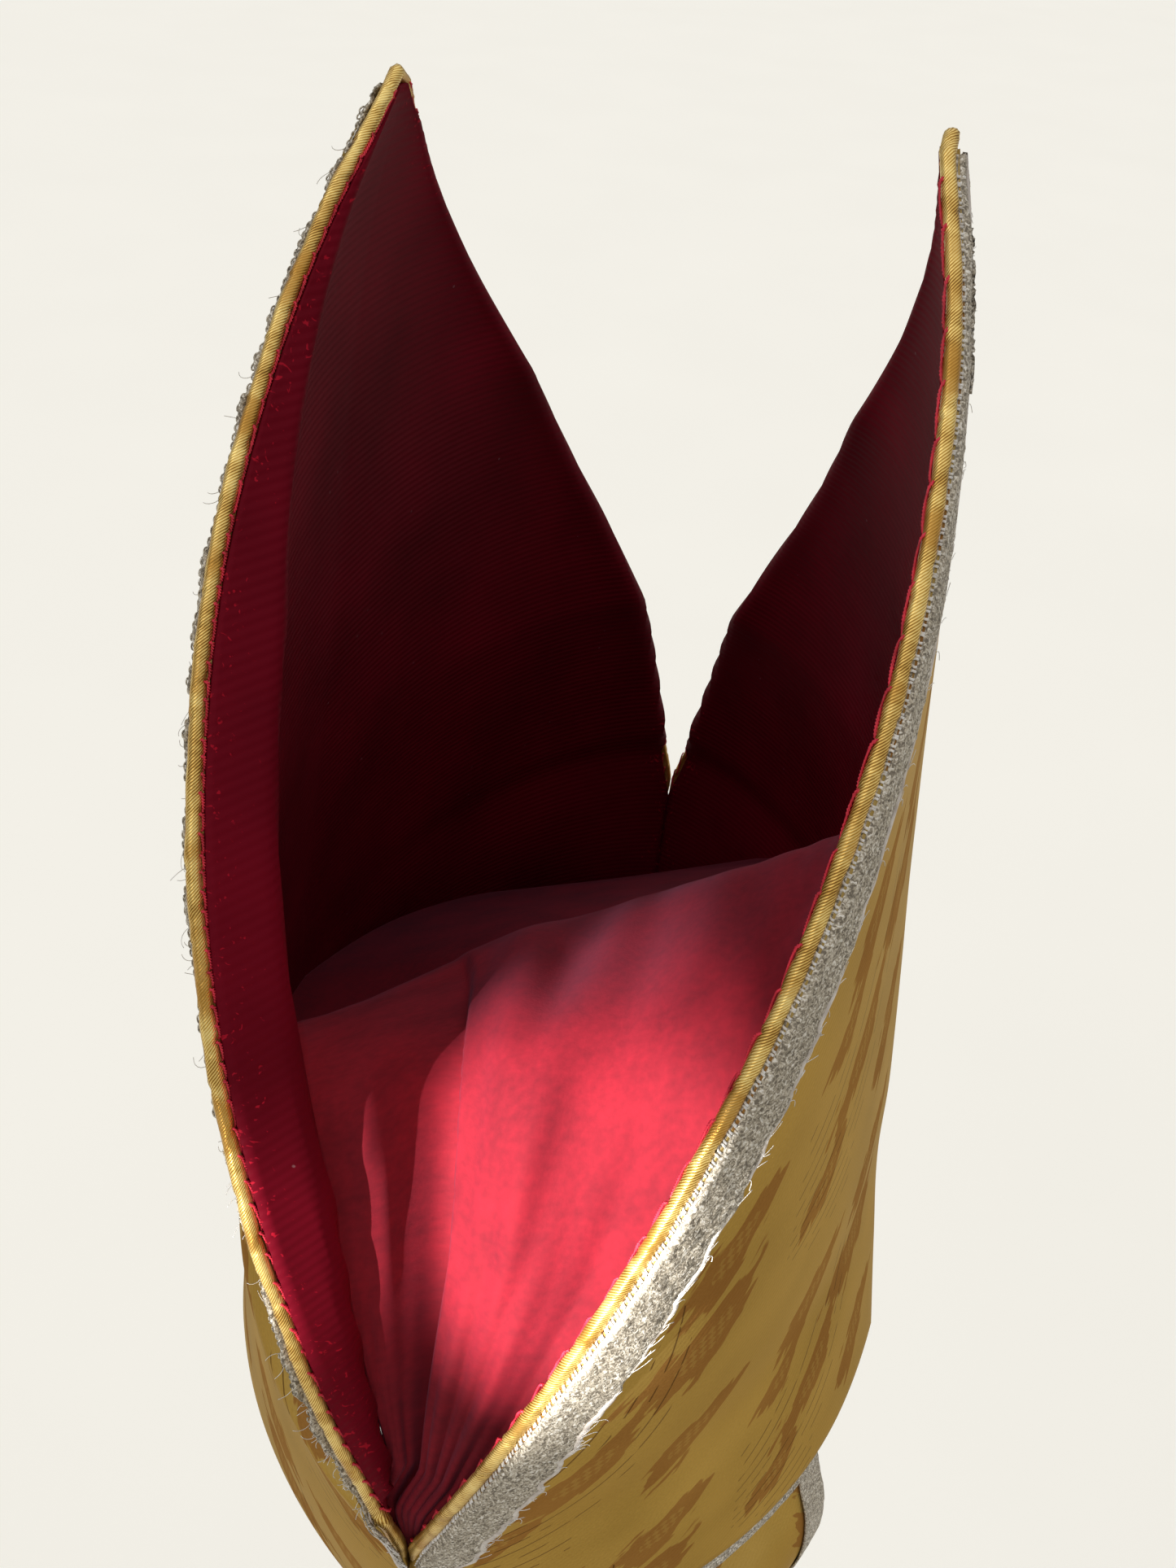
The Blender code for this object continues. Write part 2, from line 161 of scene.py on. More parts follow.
def smooth_table(table: Sequence[Sequence[float]], heights: np.ndarray) -> np.ndarray:
    """Reads a table of millimetres smoothly between its rows.

    Args:
        table: rows that start with a height, in rising order.
        heights: the heights to read it at, in metres.

    Returns:
        The other columns at each height, in metres.
    """
    rows = np.array(table) * MM
    known = rows[:, 0]
    slopes = np.gradient(rows[:, 1:], known, axis=0)
    at = np.clip(heights, known[0], known[-1])
    below = np.clip(np.searchsorted(known, at, side="right") - 1, 0, len(known) - 2)
    span = known[below + 1] - known[below]
    part = ((at - known[below]) / span)[..., None]
    span = span[..., None]
    return (
        (1 + 2 * part) * (1 - part) ** 2 * rows[below, 1:]
        + part * (1 - part) ** 2 * span * slopes[below]
        + part**2 * (3 - 2 * part) * rows[below + 1, 1:]
        + part**2 * (part - 1) * span * slopes[below + 1]
    )


def lengths_along(points: np.ndarray) -> np.ndarray:
    """Length along each row of points, up to each point."""
    steps = np.linalg.norm(np.diff(points, axis=-2), axis=-1)
    return np.concatenate([np.zeros((*steps.shape[:-1], 1)), np.cumsum(steps, axis=-1)], axis=-1)


def spline_weights(count: int, at: np.ndarray, degree: int = 3) -> np.ndarray:
    """Weights of the control points of a clamped B-spline.

    Args:
        count: number of control points.
        at: places along the curve, from 0 to 1.
        degree: degree of the curve.

    Returns:
        A row of weights for each place.
    """
    inner = np.linspace(0, 1, count - degree + 1)
    knots = np.concatenate([[0] * degree, inner, [1] * degree])
    at = np.clip(at, 0, 1 - 1e-9)[:, None]
    weights = ((knots[:-1] <= at) & (at < knots[1:])).astype(float)
    for order in range(1, degree + 1):
        left = knots[order:-1] - knots[: -order - 1]
        right = knots[order + 1 :] - knots[1:-order]
        empty = np.zeros_like(weights[:, :-1])
        rising = np.divide(at - knots[: -order - 1], left, out=empty.copy(), where=left > 0)
        falling = np.divide(knots[order + 1 :] - at, right, out=empty, where=right > 0)
        weights = rising * weights[:, :-1] + falling * weights[:, 1:]
    return weights


def lip_growth(height: float, lateness: float) -> float:
    """How much of its full width a lip has at this height, from 0 to 1."""
    growing = np.clip((height - SEAM_TOP) / LIP_WIDENS, 0, 1) ** lateness
    return float(growing * np.clip((TIP_HEIGHT - height) / LIP_NARROWS, 0, 1))


@functools.cache
def section(height: float, cusp: Cusp, hand: Hand) -> tuple[np.ndarray, np.ndarray]:
    """The level line of half a cusp, from its middle to the centre of its piping.

    Args:
        height: height above the rim, in metres.
        cusp: which cusp.
        hand: which side of it.

    Returns:
        Points as (width, depth), and the length along the line at each.
    """
    middle, edge_depth, edge_width = smooth_table(SECTIONS, np.array([height]))[0]
    lip = LIPS[cusp, hand]
    growth = lip_growth(height, lip.lateness)
    edge_width += lip.aside * MM * growth
    edge_depth -= min(lip.nearer * MM * growth, NEARER_MOST * edge_depth)
    width = min(lip.width * MM * growth, max(edge_depth - LIP_LEAST_DEPTH, 0) / lip.backwards)
    edge = np.array([edge_width, edge_depth])
    fold = edge - width * np.array([lip.sideways, lip.backwards])
    arch = fold[1] + (middle - fold[1]) * (1 - CONTROL_PLACES**2) ** SECTION_FULLNESS
    shares = LIP_SHARES if lip.width else (1.0,)
    control = np.column_stack([fold[0] * CONTROL_PLACES, arch])
    control = np.concatenate([control, [fold + share * (edge - fold) for share in shares]])
    points = spline_weights(len(control), np.linspace(0, 1, SECTION_SAMPLES)) @ control
    return points, lengths_along(points)


def level_points(
    height: float, cusp: Cusp, hand: Hand, lengths: np.ndarray, offset: np.ndarray | float
) -> np.ndarray:
    """Points of a cusp on one level.

    Args:
        height: height above the rim, in metres.
        cusp: which cusp.
        hand: which side of it.
        lengths: distances along the level line from the cusp's middle; past its end it runs straight on.
        offset: distances outwards from the cusp's inner face.

    Returns:
        A world point for each length.
    """
    points, length = section(height, cusp, hand)
    lengths = np.asarray(lengths, float)
    step = DIRECTION_STEP * length[-1]

    def on_line(at: np.ndarray) -> np.ndarray:
        """Points of the level line, which goes on straight past its end.

        Args:
            at: lengths along it.

        Returns:
            Points as (width, depth).
        """
        at = np.append(at, length[-1] - END_REACH)
        flat = np.column_stack([np.interp(at, length, points[:, axis]) for axis in (0, 1)])
        end = (points[-1] - flat[-1]) / END_REACH
        return flat[:-1] + np.maximum(at[:-1] - length[-1], 0)[:, None] * end

    ahead = on_line(lengths + step)
    tangent = ahead - on_line(np.abs(lengths - step)) * np.where(lengths > step, 1, [[-1], [1]]).T
    tangent /= np.hypot(*tangent.T)[:, None]
    outward = np.column_stack([-tangent[:, 1], tangent[:, 0]])
    place = on_line(lengths) + np.asarray(offset)[..., None] * outward
    return np.column_stack([hand * place[:, 0], cusp * place[:, 1], np.full(len(place), height)])


def edge_slant(height: float, cusp: Cusp, hand: Hand) -> float:
    """How much longer a level line across the edge's trims is than their width.

    Args:
        height: height above the rim, in metres.
        cusp: which cusp.
        hand: which side of it.

    Returns:
        The factor, 1 where the edge stands upright.
    """
    nearby = np.clip([height - SLANT_REACH, height + SLANT_REACH], SEAM_TOP, TIP_HEIGHT - MM)
    if nearby[1] <= nearby[0]:
        return 1.0
    lengths = [section(float(level), cusp, hand)[1][-1] for level in nearby]
    return math.hypot(1, (lengths[1] - lengths[0]) / np.ptp(nearby))


def cloth_length(height: float, cusp: Cusp, hand: Hand) -> float:
    """Length of a level line as far as the cloth's own edge, just under the piping.

    Args:
        height: height above the rim, in metres.
        cusp: which cusp.
        hand: which side of it.

    Returns:
        The length, in metres.
    """
    entering = float(np.clip((height - SEAM_TOP) / PIPING_ENTERS, 0, 1))
    inset = (PIPING_RADIUS + PIPING_CLEAR) * edge_slant(height, cusp, hand) * entering
    length = section(height, cusp, hand)[1][-1]
    return length - min(inset, 0.5 * length)


# --- Meshes ------------------------------------------------------------------------------------


def unit(vectors: np.ndarray) -> np.ndarray:
    """The vectors along the last axis, one metre long."""
    return vectors / np.maximum(np.linalg.norm(vectors, axis=-1, keepdims=True), 1e-12)


def wander(x: np.ndarray, y: np.ndarray | float, wavelength: float, seed: int, waves: int = 9) -> np.ndarray:
    """Smooth irregular ripples of about one wavelength, the same on every run.

    Args:
        x: first coordinate.
        y: second coordinate, in the same unit.
        wavelength: middle wavelength, in that unit too.
        seed: picks the pattern.
        waves: number of waves added up.

    Returns:
        Values of about -1 to 1.
    """
    draw = np.random.default_rng(seed)
    total = 0.0
    for _ in range(waves):
        turn, phase = draw.uniform(0, math.tau, 2)
        reach = wavelength * draw.uniform(*WAVES)
        total = total + np.cos(math.tau * (x * math.cos(turn) + y * math.sin(turn)) / reach + phase)
    return total / math.sqrt(waves)


def ramp(values: np.ndarray, start: float, end: float) -> np.ndarray:
    """Rises smoothly from 0 at start to 1 at end."""
    part = np.clip((values - start) / (end - start), 0, 1)
    return part * part * (3 - 2 * part)


def bell(values: np.ndarray, centre: float, spread: float) -> np.ndarray:
    """1 at the centre, falling off smoothly over the spread."""
    return np.exp(-(((values - centre) / spread) ** 2))


def piece_of(name: str, mesh: Mesh, finish: "Finish") -> Object:
    """Links a mesh as a piece that rides on the mitre.

    Args:
        name: the piece's name.
        mesh: its mesh, in place.
        finish: what it is made of.

    Returns:
        The piece.
    """
    piece = bpy.data.objects.new(name, mesh)
    mesh.name = name
    mesh.materials.append(finish.material())
    mesh.shade_smooth()
    bpy.context.scene.collection.objects.link(piece)
    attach(piece, "root")
    LOG.info("%s: %d faces", name, len(mesh.polygons))
    return piece


def thicken(piece: Object, thick: float, offset: float) -> None:
    """Gives a sheet its wall, as a modifier.

    Args:
        piece: the sheet.
        thick: the wall's thickness.
        offset: 1 for a wall along the normals, -1 for one against them and 0 for one both ways.
    """
    wall = piece.modifiers.new("wall", "SOLIDIFY")
    wall.thickness = thick
    wall.offset = offset


def sheet_mesh(points: np.ndarray, uv: np.ndarray, flip: bool = False) -> Mesh:
    """Makes a sheet from a grid of points.

    Args:
        points: rows of points.
        uv: the same grid laid flat, in metres.
        flip: turns the faces over.

    Returns:
        The mesh, with its flat layout as a UV map.
    """
    rows, columns = points.shape[:2]
    cloth = bmesh.new()
    bmesh.ops.create_grid(cloth, x_segments=columns - 1, y_segments=rows - 1, size=1)
    if flip:
        bmesh.ops.reverse_faces(cloth, faces=cloth.faces)
    mesh = bpy.data.meshes.new("sheet")
    cloth.to_mesh(mesh)
    cloth.free()
    mesh.vertices.foreach_set("co", points.reshape(-1))
    corner = np.empty(len(mesh.loops), np.int32)
    mesh.loops.foreach_get("vertex_index", corner)
    mesh.uv_layers.new(name="flat").uv.foreach_set("vector", uv.reshape(-1, 2)[corner].reshape(-1))
    mesh.update()
    return mesh


def flat_rows(widths: np.ndarray, shares: np.ndarray, heights: np.ndarray) -> np.ndarray:
    """Flat places of a grid whose rows have these widths and heights, and these shares of the width."""
    return np.stack([np.outer(widths, shares), np.repeat(heights[:, None], len(shares), 1)], axis=-1)


@functools.cache
def tube_template(rings: int, sides: int) -> Mesh:
    """A closed unit tube to be bent along threads, each vertex at its cosine, sine and ring number.

    Args:
        rings: number of rings along it.
        sides: number of corners round it.

    Returns:
        The mesh, with the turn round and the ring number as a UV map.
    """
    tube = bmesh.new()
    turns = tube.loops.layers.uv.new("flat")
    bmesh.ops.create_grid(tube, x_segments=sides, y_segments=rings - 1, size=1)
    for face in tube.faces:
        for corner in face.loops:
            place = corner.vert.co
            corner[turns].uv = ((place.x + 1) / 2, (place.y + 1) / 2 * (rings - 1))
    for vert in tube.verts:
        turn = (vert.co.x + 1) * math.pi
        ring = round((vert.co.y + 1) / 2 * (rings - 1))
        vert.co = (math.cos(turn), math.sin(turn), ring)
    bmesh.ops.remove_doubles(tube, verts=tube.verts, dist=WELD)
    bmesh.ops.holes_fill(tube, edges=tube.edges, sides=0)
    bmesh.ops.recalc_face_normals(tube, faces=tube.faces)
    mesh = bpy.data.meshes.new("tube_template")
    tube.to_mesh(mesh)
    tube.free()
    return mesh


def thread_mesh(
    paths: np.ndarray,
    radii: np.ndarray | float,
    sides: int = 6,
    facing: np.ndarray | None = None,
    flatness: float = 1.0,
    relief: np.ndarray | None = None,
) -> Mesh:
    """Bends tubes along paths.

    Args:
        paths: for each thread a row of points.
        radii: the radius, or one for each point of each thread.
        sides: number of corners round a thread.
        facing: for each point the way its flatter face looks.
        flatness: thickness along facing as a share of the width.
        relief: for each ring and side of a single thread a factor on its radius.

    Returns:
        One mesh of all threads, with the turn round and the length along as a UV map.
    """
    # One mesh holds a copy of the unit tube for each thread
    count, rings = paths.shape[:2]
    template = tube_template(rings, sides)
    many = bmesh.new()
    many.loops.layers.uv.new("flat")
    for _ in range(count):
        many.from_mesh(template)
    mesh = bpy.data.meshes.new("threads")
    many.to_mesh(mesh)
    many.free()
    corners = np.empty(len(template.vertices) * 3)
    template.vertices.foreach_get("co", corners)
    corners = corners.reshape(-1, 3)
    ring = np.round(corners[:, 2]).astype(int)
    # Each ring turns square to its thread, with one axis along facing
    along = unit(np.gradient(paths, axis=1))
    if facing is None:
        facing = np.broadcast_to(ASKEW, paths.shape)
    across = unit(np.cross(along, facing))
    lift = np.cross(across, along)
    radii = np.broadcast_to(np.asarray(radii, float), (count, rings))[:, ring, None]
    if relief is not None:
        side = np.round(np.arctan2(corners[:, 1], corners[:, 0]) / math.tau * sides).astype(int) % sides
        radii = radii * relief[ring, side][None, :, None]
    round_it = corners[:, 0, None] * across[:, ring] + flatness * corners[:, 1, None] * lift[:, ring]
    mesh.vertices.foreach_set("co", (paths[:, ring] + radii * round_it).reshape(-1))
    # The flat layout's ring numbers become lengths
    layer = mesh.uv_layers["flat"].uv
    uv = np.empty(len(mesh.loops) * 2)
    layer.foreach_get("vector", uv)
    uv = uv.reshape(count, -1, 2)
    at = np.round(uv[..., 1]).astype(int)
    uv[..., 1] = np.take_along_axis(lengths_along(paths), at, axis=1)
    layer.foreach_set("vector", uv.reshape(-1))
    mesh.update()
    return mesh


def even_path(points: np.ndarray, step: float) -> tuple[np.ndarray, np.ndarray]:
    """The same line with evenly spaced points.

    Args:
        points: points of the line, each with any number of values.
        step: distance between the new points, measured on their first three values.

    Returns:
        The new points, and the length along at each.
    """
    length = lengths_along(points[:, :3])
    even = np.linspace(0, length[-1], max(int(length[-1] / step), 2))
    return np.column_stack([np.interp(even, length, column) for column in points.T]), even


# --- The two cusps' edges ----------------------------------------------------------------------


class Edge:
    """Flat coordinates along one free edge of a cusp.

    They are the length along the piping from the end of the side seam, the distance in from the
    piping's centre line over the cloth, and the distance outwards from the cusp's inner face.
    """

    STEP = 0.6 * MM
    BELOW = 14 * MM
    REACH = (-6 * MM, 26 * MM)
    ACROSS = 65
    LEVELS = 321

    def __init__(self, cusp: Cusp, hand: Hand) -> None:
        """Tabulates the surface along the edge.

        Args:
            cusp: which cusp.
            hand: which side of it.
        """
        self.cusp, self.hand = cusp, hand
        heights = np.linspace(SEAM_TOP - self.BELOW, TIP_HEIGHT, self.LEVELS)
        ends = np.array([self._level(height, np.zeros(1), 0.0)[0] for height in heights])
        length = lengths_along(ends)
        self.start = -float(np.interp(SEAM_TOP, heights, length))
        self.length = float(length[-1]) + self.start
        self.rows = int(length[-1] / self.STEP) + 1
        self.heights = np.interp(np.linspace(0, length[-1], self.rows), length, heights)
        self.insets = np.linspace(*self.REACH, self.ACROSS)
        self.faces = np.array([self._level(height, self.insets, 0.0) for height in self.heights])
        raised = np.array([self._level(height, self.insets, MM) for height in self.heights])
        self.normals = unit(raised - self.faces)

    def _level(self, height: float, insets: np.ndarray, offset: float) -> np.ndarray:
        """Points of one level at these insets.

        Args:
            height: height above the rim, in metres.
            insets: distances in from the piping's centre line.
            offset: distance outwards from the inner face.

        Returns:
            A world point for each inset.
        """
        height = float(height)
        length = section(height, self.cusp, self.hand)[1][-1]
        plain = insets * edge_slant(height, self.cusp, self.hand)
        inward = np.where(plain < 0.5 * length, plain, length * (1 - np.exp(-plain / length)))
        return level_points(height, self.cusp, self.hand, length - inward, offset)

    def at(self, along: np.ndarray, inset: np.ndarray | float, lift: np.ndarray | float) -> np.ndarray:
        """World points of flat coordinates, all in metres.

        Args:
            along: lengths along the piping.
            inset: distances in from the piping's centre line.
            lift: distances outwards from the inner face.

        Returns:
            An array of points with the shape of the coordinates.
        """
        along, inset, lift = np.broadcast_arrays(along, inset, lift)
        row = (along - self.start) / (self.length - self.start) * (self.rows - 1)
        row = np.clip(row, 0, self.rows - 1.001)
        low, high = self.REACH
        column = np.clip((inset - low) / (high - low) * (self.ACROSS - 1), 0, self.ACROSS - 1.001)
        r, c = row.astype(int), column.astype(int)
        fr, fc = (row - r)[..., None], (column - c)[..., None]

        def blend(table: np.ndarray) -> np.ndarray:
            """The table between its four nearest entries.

            Args:
                table: an entry for each row and column.

            Returns:
                A value for each place.
            """
            lower = table[r, c] * (1 - fc) + table[r, c + 1] * fc
            upper = table[r + 1, c] * (1 - fc) + table[r + 1, c + 1] * fc
            return lower * (1 - fr) + upper * fr

        return blend(self.faces) + lift[..., None] * blend(self.normals)

    def outward(self, along: np.ndarray, inset: np.ndarray | float = 0.0) -> np.ndarray:
        """The way out of the cloth at these flat coordinates."""
        return unit(self.at(along, inset, MM) - self.at(along, inset, 0.0))


@functools.cache
def edge_of(cusp: Cusp, hand: Hand) -> Edge:
    """The flat coordinates of this edge."""
    return Edge(cusp, hand)


# --- Materials ---------------------------------------------------------------------------------


def linear(hex_colour: str) -> tuple[float, float, float, float]:
    """The linear colour of an sRGB hex value."""
    parts = [int(hex_colour[at : at + 2], 16) / 255 for at in (1, 3, 5)]
    return (*[part / 12.92 if part <= 0.04045 else ((part + 0.055) / 1.055) ** 2.4 for part in parts], 1.0)


def feed(tree: NodeTree, node: Node, feeds: dict) -> None:
    """Feeds a node's inputs.

    Args:
        tree: the nodes that it belongs to.
        node: the node.
        feeds: for an input's name or number a value, or the node or socket that feeds it.
    """
    for name, value in feeds.items():
        if isinstance(value, Node):
            value = value.outputs[0]
        if isinstance(value, NodeSocket):
            tree.links.new(value, node.inputs[name])
        else:
            node.inputs[name].default_value = value


def add(tree: NodeTree, kind: str, feeds: dict | None = None, **settings: object) -> Node:
    """Adds a node with its settings and links.

    Args:
        tree: the nodes that it joins.
        kind: the node's type, without the word that starts every shader node's type.
        feeds: what its inputs get, as feed() takes it.
        settings: the node's own settings.

    Returns:
        The node.
    """
    node = tree.nodes.new("ShaderNode" + kind)
    for name, value in settings.items():
        setattr(node, name, value)
    feed(tree, node, feeds or {})
    return node


def calc(tree: NodeTree, operation: str, *values: object) -> Node:
    """Adds a sum, product or other operation on values, nodes or sockets."""
    return add(tree, "Math", dict(enumerate(values)), operation=operation)


def noise(tree: NodeTree, place: object, scale: float, **sockets: float) -> Node:
    """Adds noise over these coordinates."""
    return add(tree, "TexNoise", {"Vector": place, "Scale": scale, **sockets})


def fade(tree: NodeTree, value: object, start: float, end: float, first: object, last: object) -> Node:
    """Adds a steady change from the first value to the last one, while the input goes from start to end."""
    return add(tree, "MapRange", {0: value, 1: start, 2: end, 3: first, 4: last})


def overlay(tree: NodeTree, factor: object, under: object, over: object) -> NodeSocket:
    """Adds a colour, or one in sRGB hex, laid over another one as far as the factor says."""
    over = linear(over) if isinstance(over, str) else over
    return add(tree, "Mix", {0: factor, 6: under, 7: over}, data_type="RGBA").outputs[2]


def relief(tree: NodeTree, height: object, strength: float, depth: float) -> Node:
    """Adds a bump of this depth, in millimetres."""
    return add(tree, "Bump", {"Height": height, "Strength": strength, "Distance": depth * MM})


def ribbing(tree: NodeTree, flat: Node, pitch: float, way: str, distortion: float) -> NodeSocket:
    """Adds ribs this many millimetres apart."""
    feeds = {"Vector": flat, "Scale": 1 / (pitch * MM) / math.tau, "Distortion": distortion}
    return add(tree, "TexWave", feeds, bands_direction=way).outputs[1]


def framed(
    tree: NodeTree,
    place: Node,
    turn: float,
    size: tuple[float, float] = (1.0, 1.0),
    centre: tuple[float, float] = (0.0, 0.0),
) -> Node:
    """Adds the place as a turned frame sees it.

    Args:
        tree: the material's nodes.
        place: the place.
        turn: the frame's turn, in radians.
        size: how much of the place one unit of the frame takes, each way.
        centre: the frame's centre.

    Returns:
        The node.
    """
    feeds = {"Vector": place, "Location": (*centre, 0), "Rotation": (0, 0, turn), "Scale": (*size, 1)}
    return add(tree, "Mapping", feeds, vector_type="TEXTURE")


def shades(tree: NodeTree, factor: object, *stops: tuple[float, str]) -> Node:
    """Adds a colour ramp.

    Args:
        tree: the material's nodes.
        factor: the node or socket that feeds it.
        stops: places from 0 to 1, each with its sRGB hex value.

    Returns:
        The node.
    """
    node = add(tree, "ValToRGB", {0: factor})
    while len(node.color_ramp.elements) < len(stops):
        node.color_ramp.elements.new(0.5)
    for element, (place, colour) in zip(node.color_ramp.elements, stops):
        element.position, element.color = place, linear(colour)
    return node


@dataclasses.dataclass(frozen=True)
class Finish:
    """What a piece is made of, with the record's material slot that stands for it."""

    name: str
    slot: str

    @functools.cache
    def material(self) -> Material:
        """The Blender material, made once.

        Returns:
            The material.
        """
        made = bpy.data.materials.new(self.name)
        made.use_nodes = True
        self.dress(made.node_tree, made.node_tree.nodes["Principled BSDF"])
        return made

    def dress(self, tree: NodeTree, shader: Node) -> None:
        """Adds the finish's nodes and sets its shader.

        Args:
            tree: the material's nodes.
            shader: its shader.
        """
        raise NotImplementedError


@dataclasses.dataclass(frozen=True)
class Leaf:
    """One leaf of the damask's spray, in millimetres and degrees; length and width are its half sizes."""

    across: float
    up: float
    turn: float
    length: float
    width: float
    bend: float


@dataclasses.dataclass(frozen=True)
class GoldDamask(Finish):
    """Damask of one gold yarn, woven on a jacquard loom.

    The eye gets a smooth satin ground with a long soft shine, and matt bronze leaves that break into
    feathers along the threads, with netted hearts and a few broken outline threads beside them.
    """

    name: str = "gold_damask"
    slot: str = "gold_damask"
    ground: str = "#c0a262"
    ground_deep: str = "#a88c50"
    leaf: str = "#aa7e46"
    leaf_deep: str = "#946836"
    edge_tint: str = "#e0bc70"
    outline: str = "#4c3212"
    tile: tuple[float, float] = (74.0, 108.0)
    slant: float = 130.0
    feather: tuple[float, float] = (11.0, 3.0)
    feathering: float = 1.35
    leaf_edge: tuple[float, float] = (0.86, 0.92)
    net: float = 1.6
    net_turn: float = 0.6
    heart: float = 0.42
    heart_light: float = 0.4
    arc_pitch: float = 0.34
    arc_width: float = 0.035
    arc_ring: tuple[float, float] = (1.6, 0.6)
    arc_breaks: float = 0.44
    arc_depth: float = 0.8
    thread: float = 0.6
    leaves: tuple[Leaf, ...] = (
        Leaf(24, 68, 142, 19, 11.0, 0.5),
        Leaf(22, 94, 134, 17, 8.0, -0.4),
        Leaf(46, 44, 128, 20, 7.5, 0.5),
        Leaf(54, 84, 126, 18, 7.0, -0.5),
        Leaf(60, 20, 136, 13, 6.5, 0.4),
        Leaf(19, 26, 130, 17, 8.0, -0.4),
        Leaf(61, 62, 124, 11, 5.0, 0.4),
    )
    outlined: int = 2

    def spray(self, tree: NodeTree, place: Node) -> tuple[object, object, object]:
        """The leaves of one tile of the pattern.

        Args:
            tree: the material's nodes.
            place: place in the tile, in millimetres.

        Returns:
            The distance to the closest leaf, 1 at its edge, that to the leaf with outline threads, and the
            place across that leaf.
        """
        nearest, lined, across = None, None, None
        for number, leaf in enumerate(self.leaves):
            size, centre = (leaf.length, leaf.width), (leaf.across, leaf.up)
            parts = add(tree, "SeparateXYZ", {0: framed(tree, place, math.radians(leaf.turn), size, centre)})
            square = calc(tree, "MULTIPLY", parts.outputs[0], parts.outputs[0])
            bent = calc(tree, "MULTIPLY_ADD", square, leaf.bend, parts.outputs[1])
            taper = calc(tree, "MULTIPLY_ADD", parts.outputs[0], 0.5, 1.1)
            side = calc(tree, "MULTIPLY", bent, taper)
            aside = add(tree, "CombineXYZ", {0: parts, 1: side})
            reach = add(tree, "VectorMath", {0: aside}, operation="LENGTH").outputs["Value"]
            nearest = reach if nearest is None else calc(tree, "MINIMUM", nearest, reach)
            if number == self.outlined:
                lined, across = reach, bent
        return nearest, lined, across

    def tiled(self, tree: NodeTree, flat: Node) -> Node:
        """Place in the tile, in millimetres: mirrored about the middle, each column dropped by half a tile.

        Args:
            tree: the material's nodes.
            flat: place on the flat cloth, in metres.

        Returns:
            The node.
        """
        wide, high = self.tile
        parts = add(tree, "VectorMath", {0: flat, "Scale": 1 / MM}, operation="SCALE")
        parts = add(tree, "SeparateXYZ", {0: parts})
        aside = calc(tree, "ABSOLUTE", parts.outputs[0])
        across = calc(tree, "FLOORED_MODULO", aside, wide)
        column = calc(tree, "FLOOR", calc(tree, "DIVIDE", aside, wide))
        dropped = calc(tree, "MULTIPLY_ADD", column, high / 2, parts.outputs[1])
        up = calc(tree, "FLOORED_MODULO", dropped, high)
        return add(tree, "CombineXYZ", {0: across, 1: up, 2: column})

    def netted(self, tree: NodeTree, place: Node, nearest: object) -> Node:
        """The leaves' strength, lowered in their hearts by a net of two crossed sets of threads.

        Args:
            tree: the material's nodes.
            place: place in the tile, in millimetres.
            nearest: the distance to the closest leaf.

        Returns:
            The node.
        """
        crossed = framed(tree, place, self.net_turn)
        squares = add(tree, "TexChecker", {"Vector": crossed, "Scale": 1 / self.net})
        heart = calc(tree, "LESS_THAN", nearest, self.heart)
        net = calc(tree, "MULTIPLY", squares.outputs[1], heart)
        return calc(tree, "MULTIPLY_ADD", net, -self.heart_light, 1.0)

    def arcs(self, tree: NodeTree, lined: object, across: object, strokes: object) -> Node:
        """Broken outline threads, in arcs round one leaf of the spray.

        Args:
            tree: the material's nodes.
            lined: the distance to that leaf.
            across: the place across it.
            strokes: noise that breaks the threads.

        Returns:
            The node.
        """
        thin = calc(tree, "LESS_THAN", calc(tree, "PINGPONG", across, self.arc_pitch), self.arc_width)
        near = calc(tree, "COMPARE", lined, *self.arc_ring)
        dashes = calc(tree, "GREATER_THAN", strokes, self.arc_breaks)
        line = calc(tree, "MULTIPLY", calc(tree, "MULTIPLY", thin, near), dashes)
        return calc(tree, "MULTIPLY", line, self.arc_depth)

    def dress(self, tree: NodeTree, shader: Node) -> None:
        """Weaves the pattern; it reads the cloth's flat UV map, in metres.

        Args:
            tree: the material's nodes.
            shader: its shader.
        """
        flat = add(tree, "UVMap", uv_map="flat")
        place = self.tiled(tree, flat)
        nearest, lined, across = self.spray(tree, place)
        turned = framed(tree, place, math.radians(self.slant), self.feather)
        strokes = noise(tree, turned, 1.0, Detail=1.5, Roughness=0.55)
        deep = calc(tree, "MULTIPLY_ADD", strokes, -self.feathering, self.feathering / 2)
        leaf = fade(tree, calc(tree, "ADD", nearest, deep), *self.leaf_edge, 1.0, 0.0)
        drawn = calc(tree, "MULTIPLY", leaf, self.netted(tree, place, nearest))
        cloud = noise(tree, flat, 26.0, Detail=2.0)
        grain = noise(tree, flat, 1500.0, Detail=1.0)
        tone = calc(tree, "MULTIPLY_ADD", grain, 0.45, cloud)
        ground = shades(tree, tone, (0.5, self.ground_deep), (0.95, self.ground))
        spray = shades(tree, tone, (0.5, self.leaf_deep), (0.95, self.leaf))
        cloth = overlay(tree, drawn, ground, spray)
        # The satin's threads are 0.3 mm apart; they are drawn twice as coarse so that they show
        satin = ribbing(tree, flat, self.thread, "DIAGONAL", 0.6)
        height = calc(tree, "MULTIPLY_ADD", drawn, 1.2, satin)
        height = calc(tree, "MULTIPLY_ADD", grain, 0.8, height)
        arcs = self.arcs(tree, lined, across, strokes)
        feeds = {
            "Base Color": overlay(tree, arcs, cloth, self.outline),
            "Roughness": fade(tree, drawn, 0.0, 1.0, 0.38, 0.6),
            "Normal": relief(tree, height, 0.3, 0.1),
            "Metallic": 0.8,
            "Specular IOR Level": 0.4,
            "Specular Tint": linear(self.edge_tint),
        }
        feed(tree, shader, feeds)


